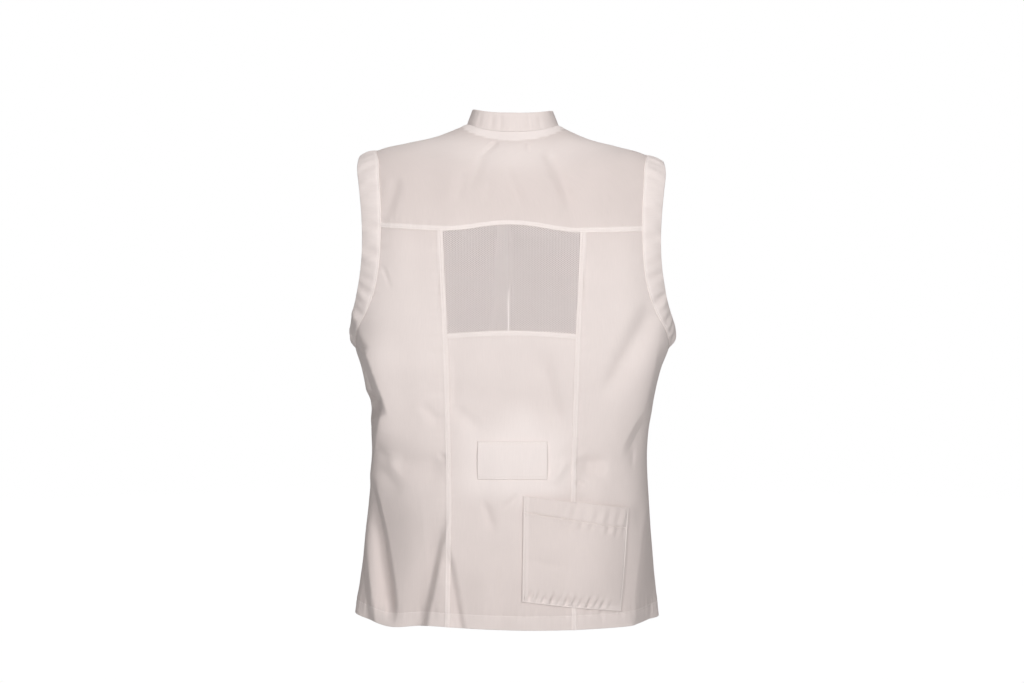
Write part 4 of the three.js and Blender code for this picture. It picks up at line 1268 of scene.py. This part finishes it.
tab_width, tab_height = TAB_RIGHT - TAB_LEFT, TAB_TOP - TAB_BOTTOM


def tab_place(across, up):
    """Places on the tab by distances from its left and bottom edges, with its outer face's height."""
    angle, station = back_at(TAB_LEFT + across, TAB_BOTTOM + up)
    crown = np.sin(math.pi * np.clip(up / tab_height, 0.001, 0.999)) ** TAB_CROWN
    creases = sum(row.depth * hump(across - row.foot, row.lean * up, row.width) for row in TAB_CREASES)
    edges = np.minimum(up, tab_height - up)
    ends = np.minimum(across, tab_width - across)
    lift = TAB_LIFT + TAB_BULGE * crown - creases * crown + CLOTH + groove(edges, TAB_STITCH)
    return angle, station, lift - rounding(edges) - rounding(ends)


shares, offsets = spread(tab_width, TAB_PITCH, TAB_LINES, TAB_LINES)
across_lines = shares * tab_width + offsets
shares, offsets = spread(tab_height, TAB_PITCH, TAB_LINES, TAB_LINES)
up_lines = shares * tab_height + offsets
across, up = np.meshgrid(across_lines, up_lines)
angle, station, lift = tab_place(across, up)
points, normals = skin(angle, station)
outer = raised(points, normals, lift)
inner = raised(points, normals, np.maximum(lift - TAB_LAYERS * CLOTH, TAB_CLEAR))
waist_tab = wall("waist_tab", outer, inner, np.stack((across, up), axis=-1), np.full_like(up, TAB_TONE))
waist_tab.data.materials.append(cotton)
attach(waist_tab, "root")
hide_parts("waist_tab")
runs = []
for up_at in (TAB_STITCH, tab_height - TAB_STITCH):
    across = np.linspace(TAB_STITCH, tab_width - TAB_STITCH, TAB_POINTS)
    runs.append(run_on(*tab_place(across, np.full_like(across, up_at))))
for across_at in (TAB_STITCH * 2, tab_width - TAB_STITCH * 2):
    for start in (TAB_STITCH, tab_height - TAB_STITCH - TAB_BAR):
        up = start + np.linspace(0, TAB_BAR, TAB_BAR_POINTS)
        runs.append(run_on(*tab_place(np.full_like(up, across_at), up)))
tab_stitches = sew("waist_tab_stitches", runs)


# Pocket. A slanting patch of cotton over the right princess seam, turned in and sewn down on three
# sides, with a deep hem along its open top. It bags a little and puckers along its stitches.
POCKET_CORNERS = {"top_left": (0.016, -0.512), "top_right": (0.1645, -0.5325),
                  "bottom_left": (0.0145, -0.655), "bottom_right": (0.154, -0.6757)}
POCKET_WIDTH = 0.144
POCKET_HEIGHT = 0.143
POCKET_HEM = 0.026
POCKET_HEM_LEFT = 0.0225
POCKET_HEM_RIGHT = 0.029
POCKET_BAG = 0.0026
POCKET_TURNED = 0.007
POCKET_LIFT = 0.0015
POCKET_BULGE = 0.004
POCKET_STITCH = 0.0018
POCKET_SEAM_SHARE = 0.47
HEM_SUNK = 0.0003
POCKET_PITCH = 0.0025
POCKET_HEM_STEP = 0.0006
POCKET_HEM_STITCH = 0.0015
POCKET_HEM_GROOVE = 3
POCKET_TOP_LINES = (0, 0.0004, 0.001, 0.002)
POCKET_HEM_LINES = (-0.0015, -0.0005, 0.0005, 0.0011, 0.0017, 0.0023)
POCKET_TONE = 0.18
POCKET_TURNED_TONE = 0.27
POCKET_HEM_TONE = 0.05
EDGE_BLUR = 0.0005
POCKET_HEM_SLOPE = 0.002
POCKET_BAG_FOOT = (0.002, 0.018)
POCKET_BAG_TOP = (0.25, 0.75)
POCKET_RIM = (0.001, 0.004)
POCKET_POINTS = 120
HEM_WAVE = 0.0008
HEM_WAVE_SHARE = 0.6
HEM_WAVE_REACH = 0.013
HEM_WAVE_FADE = (0.05, 0.55)
DENTS = 0.0009
DENTS_BELOW_HEM = 0.004
DENTS_REACH = 0.006
DENTS_FADE = (0.2, 0.4)
FOOT_WAVE = 0.0018
FOOT_WAVE_UP = 0.007
FOOT_WAVE_REACH = 0.010
FOOT_WAVE_FADE = (0.7, 0.95)
SEAM_RIDGE = 0.0005
SEAM_RIDGE_WIDTH = 0.03
SEAM_RIDGE_FADE = (0.7, 0.85)
POCKET_WAVES = table(("place", "height", "slant", "pitch", "phase"), (
    ("hem", 1, .22, .0152, .8), ("hem", .5, .22, .026, 2.0),
    ("dents", 1, .22, .0125, 3.0), ("dents", .6, .22, .019, 0),
    ("foot", 1, .3, .0105, 0), ("foot", .5, 0, .0172, 1.0),
))
POCKET_LINES = (0, 0.0004, 0.001, 0.0018, 0.0026, 0.004)
POCKET_FOLD_START = (-0.1, 0.3)
POCKET_FOLD_END = (-0.1, 0.4)
POCKET_FOLDS = table(("start_u", "start_v", "end_u", "end_v", "width", "rise"), (
    (.40, .80, .75, .35, .05, -.0012), (.05, .40, .45, .37, .04, -.0012), (.45, .72, .95, .12, .06, .0010),
    (.38, .78, .46, .70, .05, -.0012), (.75, .99, .66, .80, .03, -.0008), (.58, .99, .52, .82, .03, -.0006),
))


def pocket_waves(place, across, up):
    """Slanting puckers of one place on the pocket."""
    return sum(row.height * np.sin(2 * math.pi * (across - row.slant * up) / row.pitch + row.phase)
               for row in POCKET_WAVES if row.place == place)


def pocket_place(u, v):
    """Places on the pocket by shares of its width and height, with its outer face's height."""
    hem = POCKET_HEM_LEFT + (POCKET_HEM_RIGHT - POCKET_HEM_LEFT) * u
    hem_v = 1 - POCKET_HEM / POCKET_HEIGHT
    v = np.where(v < hem_v, v * (1 - hem / POCKET_HEIGHT) / hem_v, 1 - (1 - v) * hem / POCKET_HEM)
    corner = {key: np.array(value) for key, value in POCKET_CORNERS.items()}
    left = corner["bottom_left"] + (corner["top_left"] - corner["bottom_left"]) * v[..., None]
    right = corner["bottom_right"] + (corner["top_right"] - corner["bottom_right"]) * v[..., None]
    seen = left + (right - left) * u[..., None]
    angle, station = back_at(seen[..., 0], seen[..., 1])
    across, up = u * POCKET_WIDTH, v * POCKET_HEIGHT
    sides = np.minimum(across, POCKET_WIDTH - across)
    sewn = np.minimum(sides, up)
    from_top = POCKET_HEIGHT - up
    arch = np.sin(math.pi * np.clip(u, 0, 1))
    lift = POCKET_LIFT + CLOTH + POCKET_BULGE * arch * v
    lift = lift + POCKET_BAG * ease(up, *POCKET_BAG_FOOT) * (1 - ease(v, *POCKET_BAG_TOP)) * arch ** 0.5
    lift = lift + POCKET_HEM_STEP * (1 - ease(from_top, hem, hem + POCKET_HEM_SLOPE))
    lift = lift + groove(from_top, hem - POCKET_HEM_STITCH) * POCKET_HEM_GROOVE
    lift = lift + groove(sewn, POCKET_STITCH)
    near = hump(from_top, HEM_WAVE_SHARE * hem, HEM_WAVE_REACH)
    lift = lift + HEM_WAVE * pocket_waves("hem", across, up) * near * ease(u, *HEM_WAVE_FADE)
    near = hump(from_top - hem, DENTS_BELOW_HEM, DENTS_REACH)
    lift = lift + DENTS * pocket_waves("dents", across, up) * near * ease(u, *DENTS_FADE)
    near = hump(up, FOOT_WAVE_UP, FOOT_WAVE_REACH)
    lift = lift + FOOT_WAVE * pocket_waves("foot", across, up) * near * (1 - ease(u, *FOOT_WAVE_FADE))
    near = hump(u, POCKET_SEAM_SHARE, SEAM_RIDGE_WIDTH)
    lift = lift + SEAM_RIDGE * near * (1 - ease(v, *SEAM_RIDGE_FADE))
    for fold in POCKET_FOLDS:
        share, aside = beside_line(u, v, fold.start_u, fold.start_v, fold.end_u, fold.end_v)
        fade = ease(share, *POCKET_FOLD_START) * ease(1 - share, *POCKET_FOLD_END)
        lift = lift + fold.rise * fade * hump(aside, 0, fold.width)
    flat_rim = 1 - ease(sewn, *POCKET_RIM)
    lift = lift * (1 - flat_rim) + (POCKET_LIFT + CLOTH + groove(sewn, POCKET_STITCH)) * flat_rim
    return angle, station, lift - rounding(sewn) - rounding(from_top), sewn, from_top, hem


shares, offsets = spread(POCKET_WIDTH, POCKET_PITCH, POCKET_LINES, POCKET_LINES)
u_lines = shares + offsets / POCKET_WIDTH
hem_lines = [POCKET_HEIGHT - POCKET_HEM + step for step in POCKET_HEM_LINES]
shares, offsets = spread(POCKET_HEIGHT, POCKET_PITCH, POCKET_LINES, POCKET_TOP_LINES, hem_lines)
v_lines = shares + offsets / POCKET_HEIGHT
u, v = np.meshgrid(u_lines, v_lines)
angle, station, lift, sewn, from_top, hem = pocket_place(u, v)
points, normals = skin(angle, station)
outer = raised(points, normals, lift)
thickness = np.where(from_top < hem, DOUBLED, CLOTH)
inner = raised(points, normals, lift - thickness + rounding(sewn) + rounding(from_top))
turned = 1 - ease(sewn, POCKET_TURNED - EDGE_BLUR, POCKET_TURNED + EDGE_BLUR)
hemmed = 1 - ease(from_top, hem - EDGE_BLUR, hem + EDGE_BLUR)
tone = POCKET_TONE + POCKET_TURNED_TONE * turned + POCKET_HEM_TONE * hemmed
uv = np.stack((u * POCKET_WIDTH, v * POCKET_HEIGHT), axis=-1)
pocket = wall("pocket", outer, inner, uv, tone)
pocket.data.materials.append(cotton)
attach(pocket, "root")
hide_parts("pocket")
runs = []
inset_u, inset_v = POCKET_STITCH / POCKET_WIDTH, POCKET_STITCH / POCKET_HEIGHT
hem_share = 1 - (POCKET_HEM - POCKET_HEM_STITCH) / POCKET_HEIGHT
whole = np.linspace(0, 1, POCKET_POINTS)
rows = ((inset_u, whole, 0), (1 - inset_u, whole, 0), (whole, inset_v, 0), (whole, hem_share, HEM_SUNK))
for u, v, sunk in rows:
    angle, station, lift = pocket_place(np.full_like(whole, u), np.full_like(whole, v))[:3]
    runs.append(run_on(angle, station, lift - sunk))
pocket_stitches = sew("pocket_stitches", runs)
